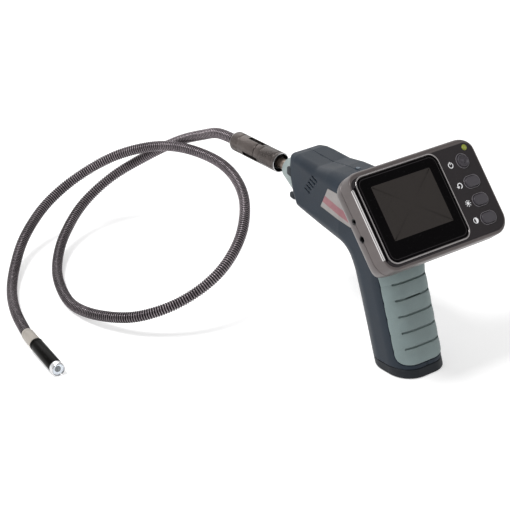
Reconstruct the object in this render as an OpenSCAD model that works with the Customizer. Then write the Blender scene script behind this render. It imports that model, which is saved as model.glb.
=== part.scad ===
// Pistol-grip inspection camera: handle, detachable wireless monitor and a stiff
// gooseneck probe that ends in a small lit camera head.
// Origin: centre of the grip's flat base. +Y to the nose, +X to the user's right, +Z up.

/* [Grip] */
// Width of the grip and of the widest part of the handle
grip_w = 41; // [38:0.5:44]
// Depth of the grip, square to its own axis
grip_d = 37.5; // [36.5:0.5:40]
// Lean of the grip from upright, in degrees
grip_lean = 20; // [16:1:24]
// Corner radius of the grip's section
grip_r = 15; // [12:0.5:16]
// Wall of the handle's two shells
wall = 2.6; // [2.4:0.1:3]
// Height of the seam between the shells and the base cap
cap_h = 6; // [5:0.5:8]
// Grooves in the rubber grip pad
groove_count = 5; // [3:1:6]
// Distance from one groove to the next
groove_pitch = 10.8; // [9:0.1:12]

/* [Barrel] */
// Height of the probe's axis above the base
axis_z = 96.4; // [95:0.1:98]
// Where the shells end at the nose
nose_y = 107; // [105:1:110]
// Width of the barrel at the nose
nose_w = 31; // [29:0.5:33]
// Where the pale nose cone ends
cone_end_y = 126; // [125:1:131]
// Radius of the male stub that the probe plugs on to
stub_r = 3.7; // [3.5:0.1:4]

/* [Monitor] */
// Width of the monitor's housing
mon_w = 102.6; // [98:0.2:106]
// Height of the monitor's housing
mon_h = 64.4; // [62:0.2:68]
// Thickness of the monitor's housing
mon_t = 22.5; // [22:0.5:24]
// Corner radius of the housing
mon_r = 9.5; // [8:0.5:11]
// How far the screen leans back from upright, in degrees
screen_tilt = 40.75; // [38:0.25:44]
// Width of the black glass window
window_w = 65.5; // [63:0.1:67]
// Height of the black glass window
window_h = 56.1; // [54:0.1:57]
// Diagonal of the visible picture, 2.4 inches
screen_diag = 61.2; // [58:0.2:62]
// Diameter of the round power button
power_d = 9.5; // [8:0.5:10]
// Length of the oblong buttons
key_w = 12.5; // [10:0.5:13]
// Height of the oblong buttons
key_h = 8; // [6:0.5:8.5]
// Distance from one oblong button to the next
key_pitch = 12.6; // [11:0.1:13]

/* [Probe] */
// Outside diameter of the gooseneck
neck_d = 7.4; // [6:0.2:7.6]
// Outside diameter of the plug collar
plug_d = 14; // [13:0.1:15]
// Outside diameter of the camera head
head_d = 9.4; // [8.5:0.1:10]
// Length of the camera head's barrel
head_len = 34.5; // [30:0.5:40]
// Direction in which the head points on the floor, in degrees
head_turn = -10.5; // [-14:0.5:-6]

/* [Hidden] */
$fn = 48;
hull_fn = 32;
gap = 0.15;
half_w = grip_w / 2;
// centre of the monitor's front face
mon_pos = [0, -10.8, 120];
// the rail plane lies just behind the housing's back
rail_z = -mon_t - 0.4;
rail_top = 10;
rail_len = 34;
// centre of the window in the monitor's own face
win_x = -12.95;
win_y = -0.75;
pic_x = -12.3;
pic_y = 1.8;
pic_w = screen_diag * 0.8;
pic_h = screen_diag * 0.6;
key_x = 39.4;
power_y = 17.4;
key_y = 2.9;
bezel_t = 2.2;
split_z = -10.5;
// the back of the housing curves in towards the dock: heights and how far each is drawn in
back_curve = [[0, 0], [5, 0.75], [8.7, 2.5], [10.9, 4.6], [12, 8]];
// places of the housing's screws, from its middle
post_x = 41.5;
post_y = 22.5;
cell_d = 14.4;
cell_len = 50;
bay_top = 62;
// the probe's plug, as distances along the barrel
collar_y = 134.5;
seam_y = 157.5;
plug_end_y = 186;
plug_r = plug_d / 2;
head_r = head_d / 2;
sleeve_len = 17;
rim_len = 4.5;
// where the gooseneck enters the head's sleeve
head_pos = [-180, 181, head_r];
// the gooseneck's centreline, laid out by hand
neck_route = [
    [0, 186, 96.4], [0, 205, 95], [-1, 221, 89], [-4, 248, 76], [-16, 272, 59],
    [-37, 288, 42], [-62, 290, 26], [-88, 276, 13], [-109, 253, 6], [-124, 226, 4.25],
    [-133, 196, 4.25], [-132, 165, 9], [-120, 137, 16], [-98, 118, 28], [-71, 113, 42],
    [-45, 123, 56], [-24, 144, 68], [-10, 172, 74], [-4, 203, 76], [-9, 235, 76],
    [-18, 263, 70], [-36, 286, 59], [-61, 299, 44], [-88, 299, 30], [-114, 287, 17],
    [-136, 266, 8], [-155, 240, 4.25], [-169.4, 211.6, 4.25], [-180, 181, 4.7]
];
steps = 2;
sides = 10;

// ---------- helpers ----------

module rounded_rect(w, h, r) {
    square([w - 2 * r, h], center = true);
    square([w, h - 2 * r], center = true);
    for (x = [-1, 1], y = [-1, 1])
        translate([x * (w / 2 - r), y * (h / 2 - r)]) circle(r);
}

module slab(w, h, r, z0, z1) {
    translate([0, 0, z0]) linear_extrude(z1 - z0) rounded_rect(w, h, r);
}

module in_grip() {
    rotate([-grip_lean, 0, 0]) children();
}

module in_monitor() {
    translate(mon_pos) rotate([90 - screen_tilt, 0, 0]) children();
}

// local +Z runs along the barrel to the nose, from a point on the probe's axis
module on_axis(y) {
    translate([0, y, axis_z]) rotate([-90, 0, 0]) children();
}

module on_head() {
    translate(head_pos) rotate([90, 0, head_turn]) children();
}

// round piece along local Z with an optional bore
module sleeve(r, z0, z1, bore = 0) {
    difference() {
        translate([0, 0, z0]) cylinder(r = r, h = z1 - z0);
        if (bore > 0) translate([0, 0, z0 - 1]) cylinder(r = bore, h = z1 - z0 + 2);
    }
}

// a thin section of the barrel whose front face is at y
module barrel_slice(y, w, low, high, r) {
    translate([0, y, (low + high) / 2]) rotate([90, 0, 0])
        linear_extrude(0.2) rounded_rect(w, high - low, r, $fn = hull_fn);
}

module dock_slice(inset, back) {
    in_monitor() translate([0, -5.5, rail_z - back - 0.2])
        linear_extrude(0.2) rounded_rect(36 - 2 * inset, 44 - 2 * inset, 8 - inset, $fn = hull_fn);
}

// the handle's solid shape, drawn in by `t` on every side
module handle_shape(t, front) {
    in_grip() slab(grip_w - 2 * t, grip_d - 2 * t, grip_r - t, -14, 88 + t / 2);
    hull() {
        barrel_slice(50, grip_w - 2 * t, 73.5 + t, 118.5 - t, 12 - t);
        barrel_slice(front, nose_w - 2 * t, 83 + t, 116 - t, 10 - t);
    }
    hull() {
        barrel_slice(50, grip_w - 2 * t, 73.5 + t, 118.5 - t, 12 - t);
        dock_slice(t, t > 0 ? t + 3 : 0.2);
    }
}

// places of the screw bosses, as [y, z]
boss_spots = [[96, 89], [96, 109.5], [62, 81.5], [60, 112], [24, 98]];

module boss_row(r, x0, x1) {
    for (p = boss_spots)
        translate([x0, p[0], p[1]]) rotate([0, 90, 0]) cylinder(r = r, h = x1 - x0, $fn = 24);
}

// the rubber pad's own volume, wrapped round the grip's back
module pad_shape(extra) {
    in_grip() intersection() {
        difference() {
            slab(grip_w + 1, grip_d + 1, grip_r + 0.5, 2.4, 74);
            slab(grip_w - 2.8, grip_d - 2.8, grip_r - 1.4, 2, 75);
        }
        translate([0, -15 - extra, 42]) rotate([90, 0, 0])
            translate([0, 0, -5]) linear_extrude(20) rounded_rect(grip_w + 4, 79.2, 9);
    }
}

module dock_screw_spots() {
    for (x = [-7, 7], y = [-19, 5]) translate([x, y, rail_z - 6.2]) children();
}

module half_shell(side) {
    difference() {
        union() {
            difference() {
                handle_shape(0, nose_y);
                handle_shape(wall, nose_y - wall);
            }
            intersection() {
                handle_shape(0.4, nose_y - 0.4);
                boss_row(3.3, -half_w, half_w);
            }
        }
        translate([side > 0 ? -100 : 0, -100, -20]) cube([100, 300, 200]);
        translate([-60, -60, -30]) cube([120, 120, 30 + cap_h]);
        pad_shape(0);
        // pocket for the dock plate
        in_monitor() translate([0, -7, 0]) slab(30.2, 38.2, 4.1, rail_z - 2.6, rail_z + 4);
        in_monitor() dock_screw_spots() cylinder(r = 1.55, h = 8);
        // hole for the stub
        on_axis(nose_y - 6) cylinder(r = stub_r + 0.05, h = 10);
    }
}

// ---------- handle ----------

module left_shell() {
    color("#39434e") difference() {
        half_shell(-1);
        boss_row(1.3, -12, 1);
        // cooling slots, stepped back as they rise
        for (i = [-2 : 2])
            translate([-18.5, 81.9 - 2 * i, 103.4 + 2.75 * i]) rotate([18, 0, 0])
                cube([8, 6.4, 0.9], center = true);
    }
}

module right_shell() {
    color("#39434e") difference() {
        half_shell(1);
        boss_row(1.6, -1, 30);
        boss_row(2.8, 11, 30);
        // window for the dimmer wheel
        translate([18, 80, 100]) cube([8, 19, 4.6], center = true);
        power_light_shape(0.05);
    }
}

module nose_cone() {
    color("#a5b0ae") difference() {
        hull() {
            barrel_slice(nose_y + 0.2, nose_w - 3, 84.6, 114.4, 9);
            on_axis(cone_end_y - 0.2) cylinder(r = 6.6, h = 0.2, $fn = hull_fn);
        }
        hull() {
            barrel_slice(nose_y + 0.1, nose_w - 8, 87.1, 111.9, 6.5);
            on_axis(cone_end_y - 6) cylinder(r = 4.6, h = 0.2, $fn = hull_fn);
        }
        on_axis(nose_y - 3) cylinder(r = stub_r + 0.05, h = 30);
        clip_row(0.05);
    }
}

module clip_row(grow) {
    for (x = [-1, 1], z = [88, 103.5])
        translate([x * 13.6, nose_y + 1.2, z])
            cube([2.4 + 2 * grow, 2.4 + 2 * grow, 4.4 + 2 * grow], center = true);
}

module cone_clips() {
    color("#22262b") clip_row(0);
}

module nose_stub() {
    color("#8b7f76") on_axis(0) difference() {
        union() {
            sleeve(7, 101.6, 104.3);
            sleeve(stub_r, 104.3, 149);
        }
        translate([0, 0, 128]) cylinder(r = 2.6, h = 30);
    }
}

module stub_contacts() {
    color("#c9a24a") on_axis(0) for (a = [0 : 90 : 270])
        rotate(a) translate([2.25, 0, 130]) cylinder(r = 0.3, h = 18, $fn = 16);
}

module nose_seal() {
    color("#1c1c1e") on_axis(137.5) rotate_extrude() translate([stub_r + 0.8, 0]) circle(0.75, $fn = 24);
}

module grip_pad() {
    color("#93a09e") difference() {
        pad_shape(0.05);
        for (i = [0 : groove_count - 1])
            in_grip() translate([0, 0, 14.3 + groove_pitch * i]) difference() {
                translate([-16, -24, -0.6]) cube([32, 12, 1.2]);
                slab(grip_w - 0.6, grip_d - 0.6, grip_r - 0.3, -1, 1);
            }
    }
}

// a four-sided sticker on the left side, a thin layer over the shell
module side_label() {
    color("#c9c2c2") intersection() {
        translate([-half_w - 2, 0, 0]) rotate([90, 0, 90]) linear_extrude(12)
            polygon([[38, 89.6], [70, 92.8], [62.5, 108], [38, 108.6]]);
        difference() {
            handle_shape(-0.25, nose_y);
            handle_shape(0, nose_y);
        }
    }
}

module power_light_shape(grow) {
    translate([2.2, 58, 114]) cylinder(r = 1.5 + grow, h = 4.6);
}

module power_light() {
    color("#5fa8e8") power_light_shape(0);
}

module dock_plate() {
    color("#33383d") in_monitor() difference() {
        union() {
            translate([0, -7, 0]) slab(30, 38, 4, rail_z - 2.5, rail_z);
            translate([0, rail_top - rail_len / 2, 0]) {
                slab(19.4, rail_len, 2, rail_z, rail_z + 2.8);
                slab(27.4, rail_len, 2, rail_z + 2.8, rail_z + 5);
            }
        }
        dock_screw_spots() {
            cylinder(r = 1.65, h = 20);
            translate([0, 0, 8.6]) cylinder(r = 3.2, h = 10);
        }
    }
}

module dock_screws() {
    color("#9a9ca0") in_monitor() dock_screw_spots() {
        sleeve(1.5, 0.4, 8.6);
        sleeve(3, 8.6, 10.6);
    }
}

module shell_screws() {
    color("#8d9095") for (p = boss_spots) translate([0, p[0], p[1]]) rotate([0, 90, 0]) {
        sleeve(1.25, -8, 11);
        sleeve(2.6, 11, 13);
    }
}

module sender_board() {
    color("#1f5b3c") translate([-7.2, 52, 86]) {
        cube([1.6, 40, 22]);
        translate([1.6, 6, 5]) cube([1.2, 9, 9]);
        translate([1.6, 22, 8]) cube([1, 6, 6]);
        translate([-2, 30, 3]) cube([2, 6, 5]);
    }
}

module sender_antenna() {
    color("#c9a24a") translate([-4, 66, 110.6]) cube([8, 26, 1]);
}

module dimmer_pot() {
    color("#2f4f7f") translate([10.4, 80, 0]) {
        translate([-4, -6, 91]) cube([8, 12, 5.6]);
        translate([0, 0, 96.6]) cylinder(r = 1.5, h = 7);
    }
}

module bay_contacts() {
    color("#b9bbc0") in_grip() {
        slab(34, 30.5, 11, bay_top + 4, bay_top + 5.6);
        for (x = [-1, 1], y = [-1, 1]) translate([x * 7.3, y * 7.3, 0]) {
            sleeve(4.5, bay_top + 2.4, bay_top + 4);
            sleeve(1, bay_top + 5.6, bay_top + 9);
        }
    }
}

module stub_cable() {
    color("#26262a") on_axis(0) sleeve(1.8, 92.5, 101.6);
}

// ---------- probe ----------

// three recesses across the seam between the collar and the connector's body
module finger_recesses() {
    for (a = [-85 : 120 : 155])
        rotate(a) translate([plug_r, 0, 161]) cube([2.6, 3.6, 16], center = true);
}

module coupling_collar() {
    color("#6d6562") on_axis(0) difference() {
        sleeve(plug_r, collar_y, seam_y - 0.2, 4.8);
        translate([0, 0, collar_y - 1]) cylinder(r = 5.3, h = 12.5);
        finger_recesses();
    }
}

module connector_body() {
    color("#6d6562") on_axis(0) difference() {
        union() {
            sleeve(plug_r, seam_y, plug_end_y - 3);
            translate([0, 0, plug_end_y - 3]) cylinder(r1 = plug_r, r2 = 5, h = 3);
            sleeve(4.75, 143, seam_y);
        }
        // seat for the stub
        translate([0, 0, 142]) cylinder(r = stub_r + 0.05, h = 8.5);
        finger_recesses();
    }
}

module connector_pin() {
    color("#c9a24a") on_axis(0) sleeve(1.2, 138, 150.5);
}

module collar_clip() {
    color("#b9bbc0") on_axis(0) difference() {
        sleeve(5.15, 144.4, 145.6, 4.78);
        translate([0, 5, 145]) cube([2, 4, 4], center = true);
    }
}

// Catmull-Rom position on the segment that starts at point i
function at(i) = neck_route[max(0, min(len(neck_route) - 1, i))];
function spline(i, t) = 0.5 * (2 * at(i) + (at(i + 1) - at(i - 1)) * t
    + (2 * at(i - 1) - 5 * at(i) + 4 * at(i + 1) - at(i + 2)) * t * t
    + (3 * at(i) - at(i - 1) - 3 * at(i + 1) + at(i + 2)) * t * t * t);
function unit(v) = v / norm(v);
neck_last = (len(neck_route) - 1) * steps;
neck_line = [for (k = [0 : neck_last]) spline(floor(k / steps), (k % steps) / steps)];
// direction of the line at ring k, held straight where it enters the plug and the head
function neck_dir(k) = k == 0 ? [0, 1, 0]
    : k == neck_last ? [sin(head_turn), -cos(head_turn), 0]
    : unit(neck_line[k + 1] - neck_line[k - 1]);
function ring(k) = let (d = neck_dir(k), a = unit(cross(d, [0, 0, 1])), b = cross(a, d))
    [for (s = [0 : sides - 1])
        neck_line[k] + neck_d / 2 * (a * cos(360 * s / sides) + b * sin(360 * s / sides))];

module gooseneck() {
    points = [for (k = [0 : neck_last]) each ring(k)];
    walls = [for (k = [0 : neck_last - 1], s = [0 : sides - 1])
        [k * sides + s, k * sides + (s + 1) % sides,
         (k + 1) * sides + (s + 1) % sides, (k + 1) * sides + s]];
    start = [for (s = [0 : sides - 1]) sides - 1 - s];
    finish = [for (s = [0 : sides - 1]) neck_last * sides + s];
    color("#6b6468") polyhedron(points, concat(walls, [start], [finish]));
}

module head_sleeve() {
    color("#a9a39b") on_head() {
        cylinder(r1 = 3.9, r2 = 4.3, h = 3);
        sleeve(4.3, 3, sleeve_len);
    }
}

module head_barrel() {
    color("#141416") on_head() difference() {
        sleeve(head_r, sleeve_len, sleeve_len + head_len);
        translate([0, 0, sleeve_len + 4]) cylinder(r = 3.9, h = head_len);
    }
}

module head_rim() {
    color("#d9dadd") on_head()
        sleeve(head_r, sleeve_len + head_len, sleeve_len + head_len + rim_len, 3.9);
}

module head_window() {
    color("#dfe8ee") on_head() sleeve(3.85, sleeve_len + head_len + 3, sleeve_len + head_len + 4);
}

module led_board() {
    color("#e9e9e2") on_head()
        sleeve(3.8, sleeve_len + head_len + 0.4, sleeve_len + head_len + 1.2, 1.7);
}

module head_lights() {
    color("#fff6d8") on_head() for (a = [45 : 90 : 315])
        rotate(a) translate([2.8, 0, sleeve_len + head_len + 1.55]) cube([1.3, 1.3, 0.7], center = true);
}

module camera_lens() {
    color("#2c2c34") on_head() sleeve(1.6, sleeve_len + head_len - 2, sleeve_len + head_len + 2.6);
}

module image_sensor() {
    color("#3b3b52") on_head()
        translate([0, 0, sleeve_len + head_len - 3]) cube([4.6, 4.6, 1.6], center = true);
}

module head_board() {
    color("#1f5b3c") on_head()
        translate([0, 0, sleeve_len + head_len - 14]) cube([6.4, 1.2, 20], center = true);
}

// ---------- dimmer and battery tray ----------

module dimmer_wheel() {
    color("#232629") translate([10.4, 80, 98.2]) difference() {
        cylinder(r = 9, h = 3.6);
        translate([0, 0, -1]) cylinder(r = 1.56, h = 6);
        for (a = [0 : 15 : 345]) rotate(a) translate([9.2, 0, -1]) cylinder(r = 0.55, h = 6, $fn = 16);
    }
}

module base_cap() {
    color("#26292c") {
        intersection() {
            in_grip() slab(grip_w, grip_d, grip_r, -14, 20);
            translate([-60, -60, 0]) cube([120, 120, cap_h - 0.15]);
        }
        // plug that enters the battery bay
        difference() {
            in_grip() slab(grip_w - 2 * wall - 0.7, grip_d - 2 * wall - 0.7, grip_r - wall - 0.35, -5, 12);
            translate([-60, -60, -30]) cube([120, 120, 30 + cap_h - 0.15]);
        }
    }
}

module cap_gasket() {
    color("#1c1c1e") in_grip()
        slab(grip_w - 2 * wall - 1.4, grip_d - 2 * wall - 1.4, grip_r - wall - 0.7, 12, 12.8);
}

module battery_tray() {
    color("#2b2b2e") in_grip() difference() {
        slab(33, 31, 11, 12.8, bay_top + 1.4);
        for (x = [-1, 1], y = [-1, 1]) translate([x * 7.35, y * 7.35, 14]) {
            cylinder(r = cell_d / 2 + 0.1, h = cell_len - 1.4);
            translate([x * 5.2, 0, (cell_len - 1.4) / 2]) cube([12, 10, cell_len - 1.4], center = true);
        }
    }
}

module cell(x, y) {
    color("#8a6d3b") in_grip() translate([x * 7.35, y * 7.35, 14.4]) {
        cylinder(r = cell_d / 2 - 0.1, h = cell_len - 3.4);
        translate([0, 0, cell_len - 3.4]) cylinder(r = 2.7, h = 1.2);
    }
}

module cell_1() { cell(-1, -1); }
module cell_2() { cell(1, -1); }
module cell_3() { cell(-1, 1); }
module cell_4() { cell(1, 1); }

module tray_contacts() {
    color("#b9bbc0") in_grip() for (x = [-1, 1], y = [-1, 1])
        translate([x * 7.3, y * 7.3, bay_top + 1.4]) cylinder(r = 3.5, h = 0.6);
}

// ---------- monitor ----------

module window_cut(grow, z0, z1) {
    translate([win_x, win_y, 0]) slab(window_w + 2 * grow, window_h + 2 * grow, 5.5 + grow, z0, z1);
}

function key_centre(i) = [key_x, key_y - key_pitch * i];

module key_holes(grow, z0, z1) {
    translate([key_x, power_y, 0]) sleeve(power_d / 2 + grow, z0, z1);
    for (i = [0 : 2]) translate(key_centre(i)) slab(key_w + 2 * grow, key_h + 2 * grow, key_h / 2 + grow - 0.01, z0, z1);
}

module mirror_corners() {
    for (x = [0, 1], y = [0, 1]) mirror([x, 0, 0]) mirror([0, y, 0]) children();
}

module jack_holes() {
    jack_spot(4.7) translate([0, 0, -1]) cylinder(r = 2.15, h = 5);
    jack_spot(-7.3) translate([0, 0, -1]) cylinder(r = 2.45, h = 5);
}

module jack_spot(y) {
    translate([-mon_w / 2, y, -11]) rotate([0, 90, 0]) children();
}

module monitor_bezel() {
    color("#6f6766") in_monitor() difference() {
        slab(mon_w, mon_h, mon_r, split_z, 0);
        slab(mon_w - 4.4, mon_h - 4.4, mon_r - 2.2, split_z - 1, -bezel_t);
        window_cut(0.05, -1.6, 1);
        translate([pic_x, pic_y, 0]) slab(pic_w + 3, pic_h + 3, 2, -5, 1);
        window_frame_shape(0.03, 1);
        key_holes(gap, -5, 1);
        translate([45.4, 25.3, -5]) cylinder(r = 2.05, h = 9);
        // groove for the bright strip on the left edge
        translate([-mon_w / 2 + 0.4, -25.6, -0.9]) cube([1.9, 47.6, 2]);
        jack_holes();
    }
    // corner blocks that take the screws
    color("#6f6766") in_monitor() difference() {
        intersection() {
            slab(mon_w - 1, mon_h - 1, mon_r - 0.5, split_z, -5.8);
            mirror_corners() translate([post_x - 3.3, post_y - 3.2, -20]) cube([20, 20, 30]);
        }
        mirror_corners() translate([post_x, post_y, split_z - 1]) cylinder(r = 1.3, h = 7);
    }
}

module window_frame_shape(grow, top) {
    translate([win_x, win_y, 0]) difference() {
        slab(window_w + 3.4 + 2 * grow, window_h + 3.4 + 2 * grow, 7.2 + grow, -1.1, top);
        slab(window_w + 0.12 - 2 * grow, window_h + 0.12 - 2 * grow, 5.56 - grow, -2, 2);
    }
}

module window_frame() {
    color("#c8c4c0") in_monitor() window_frame_shape(0, 0.5);
}

module window_glass() {
    color("#0c0b0c") in_monitor() window_cut(0, -1.6, 0.25);
}

module edge_strip() {
    color("#dedee2") in_monitor() translate([-mon_w / 2 + 0.45, -25.5, -0.85]) cube([1.8, 47.4, 1.2]);
}

// the curved back, drawn in by `t` on the sides and `back` on the back face;
// its lower edge is drawn in far less than the others
module back_solid(t, back) {
    hull() for (s = back_curve)
        translate([0, -0.425 * s[1],
                s[0] == 0 ? split_z - 0.05 : max(-mon_t, split_z - s[0] - 0.05) + back])
            linear_extrude(s[0] == 0 && back > 0 ? 1 : 0.05)
                rounded_rect(mon_w - 2 * (s[1] + t), mon_h - 1.15 * s[1] - 2 * t,
                    max(mon_r - s[1] - t, 0.8), $fn = hull_fn);
}

module monitor_back() {
    color("#6f6766") in_monitor() difference() {
        union() {
            difference() {
                back_solid(0, 0);
                back_solid(2.2, 2.2);
            }
            // block that carries the dock channel
            translate([-18, -mon_h / 2 + 8.2, -mon_t + 1]) cube([36, 39.2, 7]);
            // the block's lower end, drawn in with the housing
            intersection() {
                back_solid(0.2, 0);
                translate([-18, -mon_h / 2, -mon_t + 0.5]) cube([36, 10, 7.5]);
            }
            // screw posts
            mirror_corners() translate([post_x, post_y, 0]) sleeve(3, -mon_t + 1, split_z);
        }
        // the dock channel, open at the housing's lower edge
        translate([0, rail_top - rail_len / 2, 0]) {
            translate([0, -20, 0]) slab(20, rail_len + 40.6, 2, -mon_t - 1, rail_z + 3.1);
            translate([0, -20, 0]) slab(28, rail_len + 40.6, 2, rail_z + 2.55, rail_z + 5.3);
        }
        mirror_corners() translate([post_x, post_y, -mon_t - 1]) {
            cylinder(r = 1.35, h = 30);
            cylinder(r = 2.7, h = 4);
        }
        jack_holes();
    }
}

module monitor_screws() {
    color("#8d9095") in_monitor() mirror_corners() translate([post_x, post_y, 0]) {
        sleeve(1.25, -mon_t + 3, -6.2);
        sleeve(2.5, -mon_t + 1.2, -mon_t + 3);
    }
}

module screen_panel() {
    color("#332e2c") in_monitor() translate([pic_x, pic_y, 0]) {
        slab(pic_w + 2, pic_h + 2, 1, -2.2, -1.7);
        slab(pic_w + 7, pic_h + 8, 1, -4.2, -2.3);
        slab(pic_w + 1, pic_h + 1, 1, -2.4, -2.1);
    }
}

module panel_frame() {
    color("#a9acb0") in_monitor() translate([pic_x, pic_y, 0]) slab(pic_w + 8, pic_h + 9, 1, -5.4, -4.3);
}

module button_mat() {
    color("#3a3a3e") in_monitor() translate([key_x - 0.4, -2.6, 0]) slab(15.5, 53, 3, -5.6, -4.7);
}

module main_board() {
    color("#1f5b3c") in_monitor() {
        slab(76, 46, 2, -8.2, -6.6);
        slab(88, 36, 2, -8.2, -6.6);
        translate([30, -6, 0]) slab(10, 10, 1, -9.4, -8.1);
        translate([-30, 10, 0]) slab(9, 9, 1, -9.2, -8.1);
    }
}

module monitor_cell() {
    color("#b8bcc2") in_monitor() translate([4, 2, 0]) slab(50, 36, 2, -14.4, -9.6);
}

module av_jack() {
    color("#16161a") in_monitor() jack_spot(4.7) difference() {
        union() {
            sleeve(2.1, 0.2, 3.8);
            translate([0, 0, 8.6]) cube([5, 7, 10], center = true);
        }
        translate([0, 0, -1]) cylinder(r = 1.3, h = 12);
    }
}

module dc_jack() {
    color("#16161a") in_monitor() jack_spot(-7.3) {
        difference() {
            union() {
                sleeve(2.4, 0.2, 3.8);
                translate([0, 0, 8.6]) cube([5.6, 7.6, 10], center = true);
            }
            translate([0, 0, -1]) cylinder(r = 1.8, h = 11);
        }
        sleeve(0.65, 2, 10.5);
    }
}

module status_light() {
    color("#b6d94a") in_monitor() translate([45.4, 25.3, 0]) sleeve(2, -3.6, 0.5);
}

// white marks beside the buttons: a bar in a ring, a turned arrow, a sun, a half disc
module button_marks() {
    mark_x = 28.8;
    color("#e8e8ea") in_monitor() {
        translate([mark_x, 16.9, 0]) {
            difference() {
                sleeve(2, 0, 0.15, 1.5);
                translate([0, 2, 0]) cube([1.4, 2, 2], center = true);
            }
            translate([-0.25, 0.4, 0]) cube([0.5, 2, 0.15]);
        }
        translate([mark_x, key_y - 0.2, 0]) {
            difference() {
                sleeve(2, 0, 0.14, 1.4);
                translate([-3, -3, -1]) cube([3, 3, 3]);
            }
            translate([-2.9, -0.2, 0]) linear_extrude(0.14) polygon([[0, 0], [2.6, 0], [1.3, -1.5]]);
        }
        translate([mark_x, key_y - key_pitch + 0.1, 0]) {
            sleeve(1, 0, 0.14);
            for (a = [0 : 45 : 315]) rotate(a) translate([1.35, -0.22, 0]) cube([0.9, 0.44, 0.14]);
        }
        translate([mark_x, key_y - 2 * key_pitch + 0.8, 0]) {
            sleeve(2, 0, 0.14, 1.55);
            intersection() {
                sleeve(1.6, 0, 0.14);
                translate([0, -2, 0]) cube([2, 4, 1]);
            }
        }
    }
}

// ---------- buttons ----------

module power_button() {
    color("#2e2a2c") in_monitor() translate([key_x, power_y, 0]) difference() {
        union() {
            sleeve(power_d / 2, -2.3, 1.2);
            sleeve(power_d / 2 + 0.9, -3.4, -2.3);
        }
        translate([0, 0, 0.9]) cylinder(r = 1.3, h = 2);
    }
}

module key(i) {
    color("#2e2a2c") in_monitor() translate(key_centre(i)) {
        slab(key_w, key_h, key_h / 2 - 0.01, -2.3, 1.2);
        slab(key_w + 1.6, key_h + 1.6, key_h / 2 + 0.79, -3.4, -2.3);
    }
}

module rotate_button() { key(0); }
module brightness_button() { key(1); }
module contrast_button() { key(2); }

left_shell();
right_shell();
nose_cone();
cone_clips();
nose_stub();
stub_contacts();
nose_seal();
grip_pad();
side_label();
power_light();
dock_plate();
dock_screws();
shell_screws();
sender_board();
sender_antenna();
dimmer_pot();
bay_contacts();
stub_cable();
connector_body();
connector_pin();
collar_clip();
gooseneck();
head_sleeve();
head_barrel();
head_rim();
head_window();
led_board();
head_lights();
camera_lens();
image_sensor();
head_board();
coupling_collar();
dimmer_wheel();
base_cap();
battery_tray();
cell_1();
cell_2();
cell_3();
cell_4();
tray_contacts();
cap_gasket();
monitor_bezel();
monitor_back();
window_glass();
window_frame();
edge_strip();
screen_panel();
panel_frame();
main_board();
monitor_cell();
av_jack();
dc_jack();
status_light();
button_mat();
monitor_screws();
button_marks();
power_button();
rotate_button();
brightness_button();
contrast_button();
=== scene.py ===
"""The finished look of the pistol-grip inspection camera, built on its CAD frame.

Shapes are worked out in millimetres, and turned into metres when a mesh is made. +Y runs to
the nose, +X to the user's right and +Z up, with the origin under the middle of the grip.
"""

import math

import bmesh
import bpy
import numpy as np
from mathutils import Matrix, Vector


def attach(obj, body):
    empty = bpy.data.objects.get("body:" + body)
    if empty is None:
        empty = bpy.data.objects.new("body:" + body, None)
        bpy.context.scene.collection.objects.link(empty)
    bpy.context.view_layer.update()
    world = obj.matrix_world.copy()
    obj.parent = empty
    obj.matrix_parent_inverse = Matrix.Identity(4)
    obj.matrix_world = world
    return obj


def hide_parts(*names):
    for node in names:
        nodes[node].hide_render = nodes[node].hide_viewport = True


MM = 0.001
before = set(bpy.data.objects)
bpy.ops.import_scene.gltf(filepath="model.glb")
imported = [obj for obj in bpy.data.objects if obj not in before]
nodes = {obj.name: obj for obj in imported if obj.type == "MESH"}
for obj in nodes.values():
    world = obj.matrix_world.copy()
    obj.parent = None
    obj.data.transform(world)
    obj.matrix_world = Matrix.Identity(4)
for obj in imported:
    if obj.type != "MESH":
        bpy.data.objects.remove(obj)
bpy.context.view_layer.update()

# ---------- camera ----------

CAMERA_EYE = Vector((-0.7467, -0.7806, 0.6096))
CAMERA_AIM = Vector((-0.0790, 0.0630, 0.0781))
CAMERA_LENS = 133.07  # mm
CAMERA_ROLL = 0.167  # degrees

# ---------- sizes, in mm ----------

AXIS_Z = 96.4  # height of the probe's axis
LEAN = math.radians(20)  # lean of the grip
GRIP_HALF = (20.5, 18.75)  # half width and half depth of the grip
GRIP_R = 15.0
WALL = 2.6
CAP_Z = 6.0  # seam between the shells and the base cap
SEAM_GAP = 0.07  # from each shell to the middle plane
BOSS_R, SCREW_R, SCREW_HEAD_R = 3.3, 1.6, 2.85
STUB_HOLE_R = 3.9
# cooling slots: (y, z) of the middle one, the way to the next one up, and their lean in radians
SLOT_AT, SLOT_STEP, SLOT_TILT = (81.9, 103.4), (-2, 2.75), 0.314
PAD_DEPTH, POCKET_DEPTH = 1.35, 1.55  # how far the pad and its pocket go under the skin
GROOVE_PITCH = 10.8

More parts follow.
